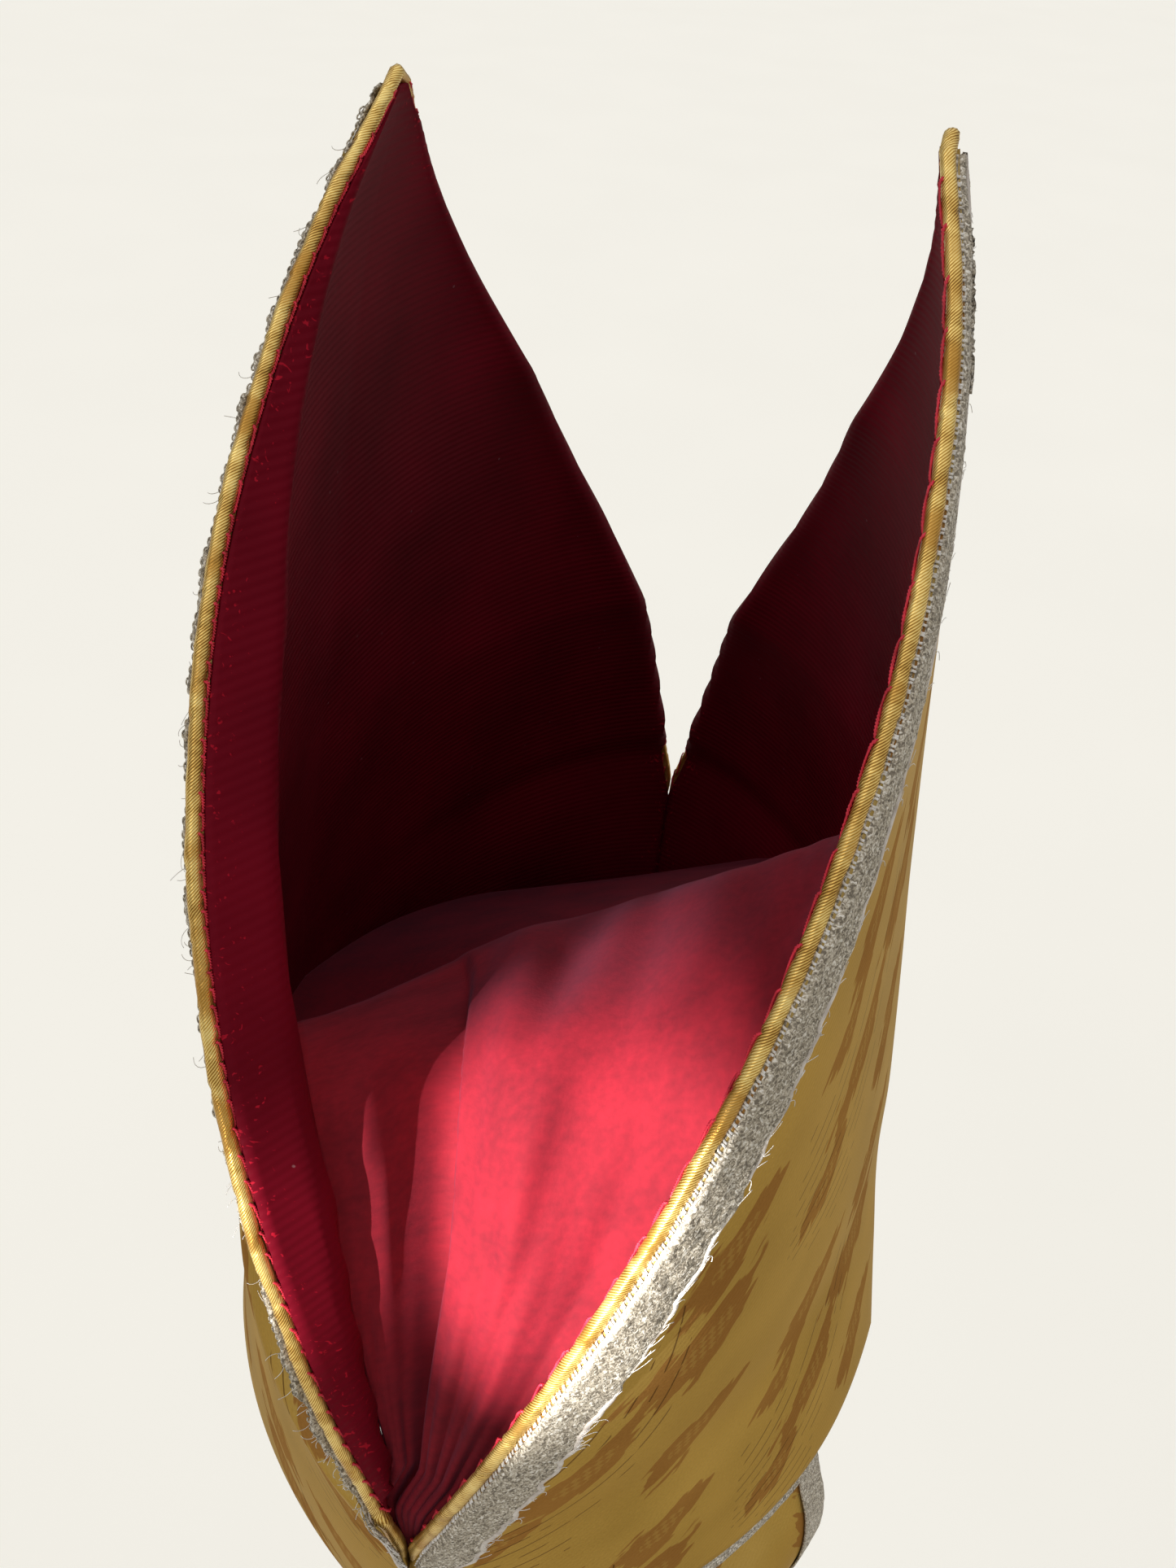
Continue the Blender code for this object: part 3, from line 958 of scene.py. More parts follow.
@dataclasses.dataclass(frozen=True)
class BurgundyTwill(Finish):
    """Acetate lining, piece dyed and pressed: fine level ribs and a dusty sheen where it is seen flat on.

    A little lint lies on it, and scraped red fibres cling to it beside the sewn edges.
    """

    name: str = "burgundy_twill"
    slot: str = "burgundy_twill"
    deep: str = "#5a0514"
    bright: str = "#780b1f"
    lint: str = "#9c7c80"
    fibre: str = "#b3182c"
    sheen: str = "#c08088"
    rib: float = 0.8
    scraped: tuple[float, float] = (2.0, 13.0)

    def linty(self, tree: NodeTree, flat: Node, cloth: Node) -> NodeSocket:
        """The cloth's colour with a few specks of lint.

        Args:
            tree: the material's nodes.
            flat: place on the flat cloth, in metres.
            cloth: the colour so far.

        Returns:
            The colour.
        """
        specks = add(tree, "TexVoronoi", {"Vector": flat, "Scale": 240.0, "Randomness": 1.0})
        rare = add(tree, "SeparateColor", {0: specks.outputs["Color"]})
        chosen = calc(tree, "GREATER_THAN", rare, 0.9)
        small = calc(tree, "LESS_THAN", specks.outputs["Distance"], 0.07)
        speck = calc(tree, "MULTIPLY", calc(tree, "MULTIPLY", small, chosen), 0.4)
        return overlay(tree, speck, cloth, self.lint)

    def scrape(self, tree: NodeTree, flat: Node, cloth: NodeSocket) -> NodeSocket:
        """The cloth's colour with red fibres, thickest beside the sewn edges.

        Args:
            tree: the material's nodes.
            flat: place on the flat cloth, in metres.
            cloth: the colour so far.

        Returns:
            The colour.
        """
        rim = add(tree, "Attribute", attribute_name="rim")
        start, end = self.scraped
        beside = fade(tree, rim.outputs["Fac"], start * MM, end * MM, 0.68, 0.5)
        hairs = noise(tree, flat, 420.0, Detail=2.0, Distortion=2.5)
        hair = fade(tree, calc(tree, "ADD", hairs, beside), 1.31, 1.36, 0.0, 0.75)
        return overlay(tree, hair, cloth, self.fibre)

    def dress(self, tree: NodeTree, shader: Node) -> None:
        """Weaves the twill; it reads the flat UV map and the attribute rim, both in metres.

        Args:
            tree: the material's nodes.
            shader: its shader.
        """
        flat = add(tree, "UVMap", uv_map="flat")
        cloud = noise(tree, flat, 24.0, Detail=3.0)
        cloth = shades(tree, cloud, (0.3, self.deep), (0.75, self.bright))
        feeds = {
            "Base Color": self.scrape(tree, flat, self.linty(tree, flat, cloth)),
            "Normal": relief(tree, ribbing(tree, flat, self.rib, "Y", 0.3), 0.6, 0.15),
            "Roughness": 0.65,
            "Specular IOR Level": 0.05,
            "Sheen Weight": 0.008,
            "Sheen Roughness": 0.5,
            "Sheen Tint": linear(self.sheen),
        }
        feed(tree, shader, feeds)


@dataclasses.dataclass(frozen=True)
class RedCotton(Finish):
    """Brushed crimson cotton, piece dyed: matt, slightly mottled, with a short soft nap."""

    name: str = "red_cotton"
    slot: str = "red_cotton"
    deep: str = "#640a17"
    bright: str = "#82111f"
    sheen: str = "#9a96bc"
    thread: float = 0.55

    def dress(self, tree: NodeTree, shader: Node) -> None:
        """Weaves and brushes the cloth; it reads its flat UV map, in metres.

        Args:
            tree: the material's nodes.
            shader: its shader.
        """
        flat = add(tree, "UVMap", uv_map="flat")
        cloud = noise(tree, flat, 60.0, Detail=4.0, Roughness=0.6)
        nap = noise(tree, flat, 700.0, Detail=2.0)
        tone = calc(tree, "MULTIPLY_ADD", nap, 0.5, cloud)
        weave = noise(tree, flat, 1 / (self.thread * MM), Detail=1.0)
        feeds = {
            "Base Color": shades(tree, tone, (0.5, self.deep), (0.95, self.bright)),
            "Normal": relief(tree, weave, 0.25, 0.12),
            "Roughness": 0.85,
            "Specular IOR Level": 0.2,
            "Sheen Weight": 0.12,
            "Sheen Roughness": 0.5,
            "Sheen Tint": linear(self.sheen),
        }
        feed(tree, shader, feeds)


@dataclasses.dataclass(frozen=True)
class GoldSatinCord(Finish):
    """Bias satin wrapped round a cord: slanted gold ribs, with bronze painted as shade in their grooves and
    pale gold painted as a highlight on their crests.

    Here and there the ribs lie flat, and the satin looks smooth and browner.
    """

    name: str = "gold_satin_cord"
    slot: str = "gold_satin_cord"
    groove_shade: str = "#80561a"
    satin: str = "#b8832e"
    body: str = "#d8a644"
    crest_highlight: str = "#ffe492"
    rib_pitch: float = 0.55
    turns: float = 14.0
    girth: float = 4.0

    def dress(self, tree: NodeTree, shader: Node) -> None:
        """Wraps the cord; it reads the turn round it and the length along it, in metres.

        Args:
            tree: the material's nodes.
            shader: its shader.
        """
        parts = add(tree, "SeparateXYZ", {0: add(tree, "UVMap", uv_map="flat")})
        turn, length = parts.outputs[0], parts.outputs[1]
        slant = calc(tree, "MULTIPLY", turn, self.turns)
        ribs = calc(tree, "MULTIPLY_ADD", length, 1 / (self.rib_pitch * MM), slant)
        wave = calc(tree, "PINGPONG", ribs, 0.5)
        flat = add(tree, "CombineXYZ", {0: calc(tree, "MULTIPLY", turn, self.girth * MM), 1: length})
        patches = noise(tree, flat, 160.0, Detail=3.0, Roughness=0.65)
        tone = calc(tree, "MULTIPLY_ADD", wave, 0.9, patches)
        # The ribs' relief picks the colour: painted shade in the grooves, a painted highlight on the crests
        ribbed = shades(tree, tone, (0.48, self.groove_shade), (0.68, self.body), (0.9, self.crest_highlight))
        worn = noise(tree, flat, 70.0, Detail=1.0)
        flattened = fade(tree, worn, 0.55, 0.62, 0.0, 0.75)
        feeds = {
            "Base Color": overlay(tree, flattened, ribbed, self.satin),
            "Normal": relief(tree, wave, 0.5, 0.15),
            "Roughness": 0.32,
            "Metallic": 0.7,
            "Specular IOR Level": 0.6,
        }
        feed(tree, shader, feeds)


@dataclasses.dataclass(frozen=True)
class SilverBraidThread(Finish):
    """Curled metallised thread, woven into a tape: a restless grey pile, with shade painted in the hollows
    of its curls and tiny white glints painted on their tops.
    """

    name: str = "silver_braid"
    slot: str = "silver_braid"
    hollow_shade: str = "#766c5d"
    body: str = "#c0b49f"
    painted_glint: str = "#f6f1e7"
    curl: float = 0.6

    def dress(self, tree: NodeTree, shader: Node) -> None:
        """Curls the thread; it reads Object coordinates, since the curls run every way.

        Args:
            tree: the material's nodes.
            shader: its shader.
        """
        place = add(tree, "TexCoord").outputs["Object"]
        swirl = noise(tree, place, 1 / (self.curl * MM), Detail=2.0, Distortion=1.0)
        feeds = {
            # The swirl that gives the curls their relief also paints shade in their hollows and white glints
            # on their tops
            "Base Color": shades(tree, swirl, (0.38, self.hollow_shade), (0.54, self.body), (0.7, self.painted_glint)),
            "Roughness": fade(tree, swirl, 0.62, 0.7, 0.55, 0.25),
            "Normal": relief(tree, swirl, 0.85, 0.25),
            "Metallic": 0.35,
            "Specular IOR Level": 0.6,
        }
        feed(tree, shader, feeds)


@dataclasses.dataclass(frozen=True)
class PlainThread(Finish):
    """Spun and dyed thread, or floor paper lit from below, with only a faint unevenness of colour."""

    deep: str
    bright: str
    roughness: float
    metallic: float = 0.0
    scale: float = 500.0
    glow: float = 0.0

    def dress(self, tree: NodeTree, shader: Node) -> None:
        """Colours the thread, on Object coordinates; the glow is seen by the camera alone.

        Args:
            tree: the material's nodes.
            shader: its shader.
        """
        place = add(tree, "TexCoord").outputs["Object"]
        cloth = noise(tree, place, self.scale, Detail=2.0)
        feeds = {
            "Base Color": shades(tree, cloth, (0.3, self.deep), (0.7, self.bright)),
            "Roughness": self.roughness,
            "Metallic": self.metallic,
        }
        if self.glow:
            seen = add(tree, "LightPath").outputs["Is Camera Ray"]
            feeds["Emission Color"] = linear(self.bright)
            feeds["Emission Strength"] = calc(tree, "MULTIPLY", seen, self.glow)
        feed(tree, shader, feeds)


GOLD_DAMASK = GoldDamask()
BURGUNDY_TWILL = BurgundyTwill()
RED_COTTON = RedCotton()
GOLD_SATIN = GoldSatinCord()
SILVER_THREAD = SilverBraidThread()
PALE_SATIN = PlainThread("pale_satin_rim", "silver_braid", "#b6aa9f", "#ded5cb", 0.38, 0.15)
RED_THREAD = PlainThread("red_thread", "red_cotton", "#a81226", "#ec3048", 0.5)
WHITE_THREAD = PlainThread("white_thread", "silver_braid", "#cfc9c0", "#f4f1ec", 0.6)
PAPER = PlainThread("floor_paper", "", "#f1eee5", "#f3f0e7", 0.9, scale=3.0, glow=0.27)


# --- The pieces --------------------------------------------------------------------------------


@dataclasses.dataclass
class CuspWall:
    """The damask panel and the lining of one cusp."""

    cusp: Cusp
    rows: int = 121
    columns: int = 54
    crowding: float = 0.85

    def grid(self, offset: float) -> tuple[np.ndarray, np.ndarray, np.ndarray]:
        """Lays a grid over the cusp, with its columns closer together towards the edges.

        Args:
            offset: its distance from the cusp's inner face.

        Returns:
            Its points, their flat places and their distances from the edge.
        """
        points, flat, rims = [], [], []
        shares = np.linspace(0, 1, self.columns) ** self.crowding
        for height in np.linspace(0, TIP_HEIGHT, self.rows).tolist():
            halves, places, rim = [], [], []
            for hand in Hand:
                lengths = shares * cloth_length(height, self.cusp, hand)
                half = level_points(height, self.cusp, hand, lengths, offset)
                order = slice(None, 0, -1) if hand == Hand.FAR else slice(None)
                halves.append(half[order])
                places.append(hand * lengths[order])
                rim.append(lengths[-1] - lengths[order])
            points.append(np.concatenate(halves))
            rims.append(np.concatenate(rim))
            places = np.concatenate(places)
            flat.append(np.column_stack([places, np.full(len(places), height)]))
        return np.array(points), np.array(flat), np.array(rims)

    def wall(self, node: str, offset: float, thick: float, outwards: bool, finish: Finish) -> None:
        """Makes one wall of the cusp.

        Args:
            node: the CAD node that it stands for.
            offset: distance of the modelled face from the cusp's inner face.
            thick: thickness, away from the modelled face.
            outwards: whether the modelled face looks outwards.
            finish: the cloth.
        """
        points, flat, rims = self.grid(offset)
        points[..., 1] = self.cusp * np.maximum(self.cusp * points[..., 1], 0.0)
        mesh = sheet_mesh(points, flat, flip=(self.cusp == Cusp.BACK) == outwards)
        mesh.attributes.new("rim", "FLOAT", "POINT").data.foreach_set("value", rims.reshape(-1))
        piece = piece_of("cloth_" + node, mesh, finish)
        thicken(piece, thick, -1)
        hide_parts(node)

    def build(self) -> None:
        """Makes the panel and the lining."""
        word = self.cusp.word
        self.wall(word + "_panel", PANEL_THICK, PANEL_THICK, True, GOLD_DAMASK)
        self.wall(word + "_lining", -GAP - LINING_THICK, LINING_THICK, False, BURGUNDY_TWILL)


PIPING_LIFT = (PANEL_THICK - GAP - LINING_THICK) / 2
PIPINGS_APART = 0.3 * MM


def piping_line(cusp: Cusp, hand: Hand, along: np.ndarray) -> np.ndarray:
    """The piping's centre line, which keeps clear of the other cusp's piping near the seam.

    Args:
        cusp: which cusp.
        hand: which side of it.
        along: lengths along the piping, in metres.

    Returns:
        A world point for each length.
    """
    line = edge_of(cusp, hand).at(along, 0.0, PIPING_LIFT)
    line[..., 1] = cusp * np.maximum(cusp * line[..., 1], PIPING_RADIUS + PIPINGS_APART / 2)
    return line


@dataclasses.dataclass
class Piping:
    """The satin-covered cord round the free edge of a cusp, ribbed slantwise and creased here and there."""

    cusp: Cusp
    radius: float = PIPING_RADIUS
    sides: int = 12
    ring_step: float = 0.3 * MM
    rib_pitch: float = 1.15 * MM
    rib_depth: float = 0.008
    path_points: int = 260
    crease_pitch: float = 13 * MM
    crease_depth: float = 0.16
    swelling: float = 0.08
    waver: float = 0.16 * MM
    tail: float = 9 * MM
    tail_aside: float = 1.2
    taper: float = 6 * MM
    end_radius: float = 0.35
    tip_rise: float = 2.0 * MM

    def path(self) -> tuple[np.ndarray, np.ndarray]:
        """The cord's line up the near edge, over the tip and down the far one, and its outer side.

        Returns:
            Points of the line, and the way outwards at each.
        """
        lines, outward = [], []
        for hand in reversed(Hand):
            edge = edge_of(self.cusp, hand)
            along = np.linspace(-self.tail, edge.length, self.path_points)
            line = piping_line(self.cusp, hand, along)
            aside = np.array([self.tail_aside * hand, 0, 0])
            lines.append(line - ramp(-along, 0, self.tail)[:, None] * self.radius * aside)
            outward.append(edge.outward(along))
        over = (lines[0][-1] + lines[1][-1]) / 2 + [0, 0, self.tip_rise]
        line = np.concatenate([lines[0], [over], lines[1][::-1]])
        out = np.concatenate([outward[0], [outward[0][-1]], outward[1][::-1]])
        return line, out

    def relief(self, along: np.ndarray, seed: int) -> np.ndarray:
        """Factors on the radius: slanted ribs, an uneven thickness, and creases with a swelling beside each.

        Args:
            along: length along at each ring.
            seed: picks the pattern.

        Returns:
            A row for each ring with a factor for each side.
        """
        turn = np.arange(self.sides) / self.sides * math.tau
        phase = math.tau * along[:, None] / self.rib_pitch + turn
        relief = 1 + self.rib_depth * np.cos(phase) + 0.05 * wander(along, 0.0, 9 * MM, seed + 5)[:, None]
        drift = 0.35 * wander(along, 0.0, 40 * MM, seed + 9)
        crease = along[:, None] / self.crease_pitch + drift[:, None] + 0.35 * turn / math.pi
        beside = (crease + 0.5) % 1 - 0.5
        relief = relief - self.crease_depth * bell(beside, 0.0, 0.035)
        return relief + self.swelling * bell(beside, 0.09, 0.05)

    def build(self) -> None:
        """Makes the cord."""
        line, out = self.path()
        both, along = even_path(np.concatenate([line, out], axis=1), self.ring_step)
        line, out = both[:, :3], unit(both[:, 3:])
        sideways = np.cross(unit(np.gradient(line, axis=0)), out)
        seed = 11 + self.cusp
        line = line + self.waver * wander(along, 0.0, 22 * MM, seed)[:, None] * sideways
        ends = np.minimum(along, along[-1] - along)
        radii = self.radius * (self.end_radius + (1 - self.end_radius) * ramp(ends, 0, self.taper))
        relief = self.relief(along, seed)
        mesh = thread_mesh(line[None], radii, self.sides, facing=out[None], relief=relief)
        piece = piece_of(f"cord_{self.cusp.word}_piping", mesh, GOLD_SATIN)
        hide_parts(self.cusp.word + "_piping")


@dataclasses.dataclass
class Braid:
    """The silver braid outside one edge: a looped tape with picots by the piping and a scalloped satin rim.

    On the near edge of the front cusp the tape lies over the piping's outer side. Elsewhere it ends
    beside the piping and wraps round the panel's edge.
    """

    cusp: Cusp
    hand: Hand
    width: float = 10.0 * MM
    lift: float = PANEL_THICK + 0.36 * MM
    thick: float = 0.55 * MM
    step: float = 0.45 * MM
    columns: int = 21
    start_inset: float = PIPING_RADIUS + 0.45 * MM
    wrapped: int = 5
    tuck: float = 0.8 * MM
    overhang: float = 0.1 * MM
    low_overhang: float = 1.9 * MM
    low_part: tuple[float, float] = (45 * MM, 90 * MM)
    waviness: float = 0.35 * MM
    mitre: float = 8.5 * MM
    tape_gaps: tuple[float, float] = (0.0, 3.5 * MM)
    least_width: float = 0.16
    narrowing: tuple[float, float] = (10 * MM, 60 * MM)
    scallop: float = 9.5 * MM
    scallop_depth: float = 1.1 * MM
    loop: tuple[float, float] = (1.5 * MM, 1.35 * MM)
    loop_height: float = 0.16 * MM
    loops_stop: tuple[float, float] = (0.84, 0.93)
    least_depth: float = 0.25 * MM
    rim_radius: float = 0.62 * MM
    rim_inset: float = 0.35 * MM
    rim_step: float = 0.5 * MM
    rim_gaps: tuple[float, float] = (0.5 * MM, 4.0 * MM)
    picot_pitch: float = 1.7 * MM
    picot: tuple[float, float] = (0.62 * MM, 0.75 * MM)
    picot_jitter: float = 0.25 * MM
    tip_clear: float = 4 * MM
    fibres: int = 150
    fibre: float = 1.7 * MM

    def __post_init__(self) -> None:
        """Looks up the edge that the braid follows."""
        self.edge = edge_of(self.cusp, self.hand)
        self.name = f"{self.cusp.word}_braid_{self.hand.word}"
        self.seed = 31 + 2 * self.cusp + self.hand
        self.over = self.cusp == Cusp.FRONT and self.hand == Hand.NEAR

    def start(self, along: np.ndarray) -> np.ndarray:
        """How far in the edge by the piping lies, at each length along.

        Args:
            along: lengths along the piping, in metres.

        Returns:
            A distance for each.
        """
        if not self.over:
            return np.full(np.shape(along), self.start_inset)
        low = 1 - ramp(along, *self.low_part)
        return -self.overhang - low * self.low_overhang + self.waviness * wander(along, 0.0, 7 * MM, 28)

    def closing(self, along: np.ndarray) -> np.ndarray:
        """Share of its width that the tape has, which is less where it runs out at the seam.

        Args:
            along: lengths along the piping, in metres.

        Returns:
            A share for each.
        """
        if self.over:
            return self.least_width + (1 - self.least_width) * ramp(along, *self.narrowing)
        return np.clip(1 + along / self.mitre, 0.04, 1)

    def outer(self, along: np.ndarray) -> np.ndarray:
        """How far in the scalloped outer edge lies, at each length along.

        Args:
            along: lengths along the piping, in metres.

        Returns:
            A distance for each.
        """
        drift = 0.22 * wander(along, 0.0, 30 * MM, self.seed)
        scallop = np.abs(np.sin(math.pi * (along / self.scallop + drift)))
        edge = self.start_inset + self.width - 1.0 * MM + self.scallop_depth * scallop
        return edge + 0.25 * MM * wander(along, 0.0, 5 * MM, self.seed + 1)

    def run(self, step: float, gaps: tuple[float, float]) -> np.ndarray:
        """Lengths along, up to a gap before the tip; the gaps are those of the near and the far hand."""
        end = self.edge.length - gaps[self.hand == Hand.FAR]
        return np.linspace(-self.mitre, end, int((end + self.mitre) / step))

    def build(self) -> None:
        """Makes the tape with its rim, picots and loose fibres."""
        self.tape()
        self.rim()
        self.picots()
        self.fray()

    def pile(self, along: np.ndarray, inset: np.ndarray, share: np.ndarray) -> np.ndarray:
        """How far out the tape's face lies, with rows of small loops that stop short of the rim.

        Args:
            along: lengths along the piping.
            inset: distances in from the piping.
            share: places across the tape, from 0 by the piping to 1.

        Returns:
            Distances from the cusp's inner face.
        """
        swirl = wander(along, inset, 3.1 * MM, self.seed + 2)
        loops = np.cos(math.tau * (along + 0.5 * MM * swirl) / self.loop[0])
        loops = loops * np.cos(math.tau * (inset + 0.4 * MM * swirl) / self.loop[1])
        body = 1 - ramp(share, *self.loops_stop)
        face = self.lift + self.thick + body * (self.loop_height * loops + 0.08 * MM * swirl)
        return face + 0.2 * MM * wander(along, inset, 16 * MM, self.seed + 3)

    def tape(self) -> None:
        """The woven tape."""
        along = self.run(self.step, self.tape_gaps)[:, None]
        wrapped = 0 if self.over else self.wrapped
        share = np.concatenate([np.zeros(wrapped), np.linspace(0, 1, self.columns)])
        bend = np.clip(np.arange(len(share)) / max(wrapped, 1) + (wrapped == 0), 0, 1) * math.pi / 2
        start = self.start(along)
        inset = start + share * (self.outer(along) - start) * self.closing(along)
        inset = inset - self.tuck * np.cos(bend)
        pile = self.pile(along, inset, share)
        points = self.edge.at(along, inset, PIPING_LIFT + (pile - PIPING_LIFT) * np.sin(bend))
        points[..., 1] = self.cusp * np.maximum(self.cusp * points[..., 1], self.least_depth)
        flat = np.stack(np.broadcast_arrays(inset, along), axis=-1)
        mesh = sheet_mesh(points, flat, flip=(self.cusp * self.hand) < 0)
        piece = piece_of(self.name + "_tape", mesh, SILVER_THREAD)
        thicken(piece, self.thick, -1)
        if self.hand == Hand.NEAR:
            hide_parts(self.cusp.word + "_braid")

    def rim(self) -> None:
        """The smooth satin cord along the scallops."""
        along = self.run(self.rim_step, self.rim_gaps)
        start = self.start(along)
        inset = start + (self.outer(along) - start) * self.closing(along) - self.rim_inset
        line = self.edge.at(along, inset, self.lift + self.thick * 0.75)
        outward = self.edge.outward(along, inset)
        mesh = thread_mesh(line[None], self.rim_radius, 8, facing=outward[None], flatness=0.6)
        piece_of(self.name + "_rim", mesh, PALE_SATIN)

    def picots(self) -> None:
        """The row of small thread loops that edges the tape by the piping."""
        draw = np.random.default_rng(self.seed + 40)
        centres = np.arange(0, self.edge.length - self.tip_clear, self.picot_pitch)
        centres = centres + draw.uniform(-1, 1, len(centres)) * self.picot_jitter
        turn = np.linspace(-0.15, 1.15, 8) * math.pi
        half, reach = self.picot
        reach = (reach * draw.uniform(0.8, 1.25, len(centres)))[:, None]
        along = centres[:, None] - half * np.cos(turn)
        start = self.start(centres[:, None])
        if self.over:
            inset = start + 0.2 * MM - 0.25 * reach * np.sin(turn)
            lift = self.lift + self.thick + 0.12 * MM + 0.2 * MM * np.sin(turn)
        else:
            inset = start - self.tuck - 0.05 * MM
            lift = PIPING_LIFT + 1.35 * MM - reach * np.sin(turn)
        mesh = thread_mesh(self.edge.at(along, inset, lift), (0.15 if self.over else 0.22) * MM, 5)
        piece_of(self.name + "_picots", mesh, SILVER_THREAD if self.over else WHITE_THREAD)

    def fray(self) -> None:
        """Loose white fibres that stand out from the edge that shows, most of them low on the front cusp."""
        draw = np.random.default_rng(self.seed + 100)
        lowness = 2.6 if self.over else 1.0
        root = (self.edge.length * 0.96 * draw.uniform(0, 1, self.fibres) ** lowness)[:, None]
        part = np.linspace(0, 1, 7)
        reach, way, curl, rise = draw.uniform(-1, 1, (4, self.fibres, 1))
        reach = self.fibre * (1 + 0.7 * reach) * part
        turn = 1.1 * way + 1.2 * curl * part
        if self.over:
            inset = self.start(root) + 0.3 * MM - reach * np.cos(turn)
        else:
            inset = self.outer(root) - 0.6 * MM + reach * np.cos(turn)
        lift = self.lift + self.thick + 0.6 * MM * rise * part + 0.3 * MM
        mesh = thread_mesh(self.edge.at(root + reach * np.sin(turn), inset, lift), 0.06 * MM, 3)
        piece_of(self.name + "_fray", mesh, WHITE_THREAD)


@dataclasses.dataclass
class Overcasting:
    """Slanted red stitches of a two-ply thread that sew the gusset and the lining to the piping.

    The turns are in degrees round the piping.
    """

    cusp: Cusp
    hand: Hand
    pitch: float = 7.6 * MM
    front_pitch: float = 4.6 * MM
    dense_pitch: float = 3.0 * MM
    dense_part: tuple[float, float] = (0.38, 0.72)
    pitch_spread: tuple[float, float] = (0.85, 1.15)
    first: float = 0.5 * MM
    tip_clear: float = 6 * MM
    overlap: float = 1.12
    thread_radius: float = 0.18 * MM
    rise_turn: float = -152.0
    front_turn: float = 2.0
    front_climb: float = 30.0
    back_turn: float = 46.0
    back_climb: float = 60.0
    entry_turn: float = 16.0
    entry_from: float = 0.86
    uneven: float = 7.0
    ply_pitch: float = 1.1 * MM
    ply_reach: float = 0.9
    rings: int = 16

    def __post_init__(self) -> None:
        """Looks up the edge that is sewn."""
        self.edge = edge_of(self.cusp, self.hand)
        self.seed = 2 * self.cusp + self.hand

    def starts(self) -> np.ndarray:
        """Where the stitches begin along the piping: closer on the front cusp, and closest in its middle.

        Returns:
            Lengths along the piping, in metres.
        """
        draw = np.random.default_rng(91 + self.seed)
        places, at = [], self.first
        while at < self.edge.length - self.tip_clear:
            places.append(at)
            pitch = self.pitch
            if self.cusp == Cusp.FRONT:
                dense = self.dense_part[0] < at / self.edge.length < self.dense_part[1]
                pitch = self.dense_pitch if dense else self.front_pitch
            at += pitch * draw.uniform(*self.pitch_spread)
        return np.array(places)

    def turns(self, part: np.ndarray, count: int) -> np.ndarray:
        """How far round the piping each stitch is on its way.

        Args:
            part: places along a stitch, from 0 to 1.
            count: number of stitches.

        Returns:
            For each stitch a row of turns, in radians.
        """
        draw = np.random.default_rng(7 + self.seed)
        shown, climb = self.back_turn, self.back_climb
        if self.cusp == Cusp.FRONT:
            shown, climb = self.front_turn, self.front_climb
        entry = self.entry_turn * np.maximum(part - self.entry_from, 0) / (1 - self.entry_from)
        turn = np.radians(shown + self.rise_turn + climb * part**1.4 + entry)
        return turn + np.radians(draw.uniform(-self.uneven, self.uneven, count))[:, None]

    def ply(self, along: np.ndarray, turn: np.ndarray, away: np.ndarray, phase: float) -> np.ndarray:
        """One ply of the thread.

        Args:
            along: for each stitch lengths along the piping.
            turn: how far round the piping the thread is there.
            away: how far from the piping's centre line the thread is there.
            phase: where the ply starts round the thread.

        Returns:
            For each stitch a row of points.
        """
        bite = self.thread_radius * self.ply_reach
        spin = math.tau * along / self.ply_pitch + phase
        reach = away + bite * np.cos(spin)
        around = turn + bite * np.sin(spin) / PIPING_RADIUS
        inward = unit(self.edge.at(along, MM, PIPING_LIFT) - self.edge.at(along, 0.0, PIPING_LIFT))
        aside = (reach * np.cos(around))[..., None] * inward
        outside = (reach * np.sin(around))[..., None] * self.edge.outward(along)
        return piping_line(self.cusp, self.hand, along) - aside + outside

    def build(self) -> None:
        """Sews the edge."""
        starts = self.starts()
        runs = np.append(np.diff(starts), self.pitch)[:, None] * self.overlap
        part = np.linspace(0, 1, self.rings)
        along = starts[:, None] + part * runs
        turn = self.turns(part, len(starts))
        # The thread lies on the piping and sinks into the cloth at both ends of a stitch
        sunk = 1.1 * bell(part, 0.0, 0.08) + 1.3 * bell(part, 1.0, 0.06)
        away = PIPING_RADIUS + self.thread_radius * (1.5 - sunk)
        plies = np.concatenate([self.ply(along, turn, away, phase) for phase in (0, math.pi)])
        mesh = thread_mesh(plies, self.thread_radius, 5)
        piece_of(f"{self.cusp.word}_stitches_{self.hand.word}", mesh, RED_THREAD)


# Where the gusset is sewn, from the near side seam over to the far one: place across the cusps, then
# in millimetres its height on the front and on the back, its sag, push inwards and pleat
GUSSET_ROWS = (
    (1.00, 73.0, 73.0, 0.0, 0.0, 0.0),
    (1.00, 82.0, 82.0, 0.0, 0.0, 0.0),
    (1.00, 106.0, 107.0, 1.0, 2.0, 3.0),
    (1.00, 128.0, 136.0, 2.0, 3.0, 7.0),
    (1.00, 148.0, 164.0, 3.0, 5.0, 10.0),
    (1.00, 162.0, 190.0, 10.0, 12.0, 12.0),
    (0.98, 169.0, 212.0, 29.0, 32.0, 12.0),
    (0.91, 162.0, 206.0, 30.0, 46.0, 8.0),
    (0.76, 146.0, 192.0, 22.0, 36.0, 4.0),
    (0.52, 118.0, 172.0, 14.0, 14.0, 2.0),
    (0.25, 96.0, 158.0, 8.0, 2.0, 0.0),
    (-0.05, 78.0, 146.0, 0.0, 0.0, 0.0),
    (-0.40, 58.0, 112.0, 0.0, 0.0, 0.0),
    (-0.72, 42.0, 72.0, 0.0, 0.0, 0.0),
    (-0.95, 30.0, 38.0, 0.0, 0.0, 0.0),
)


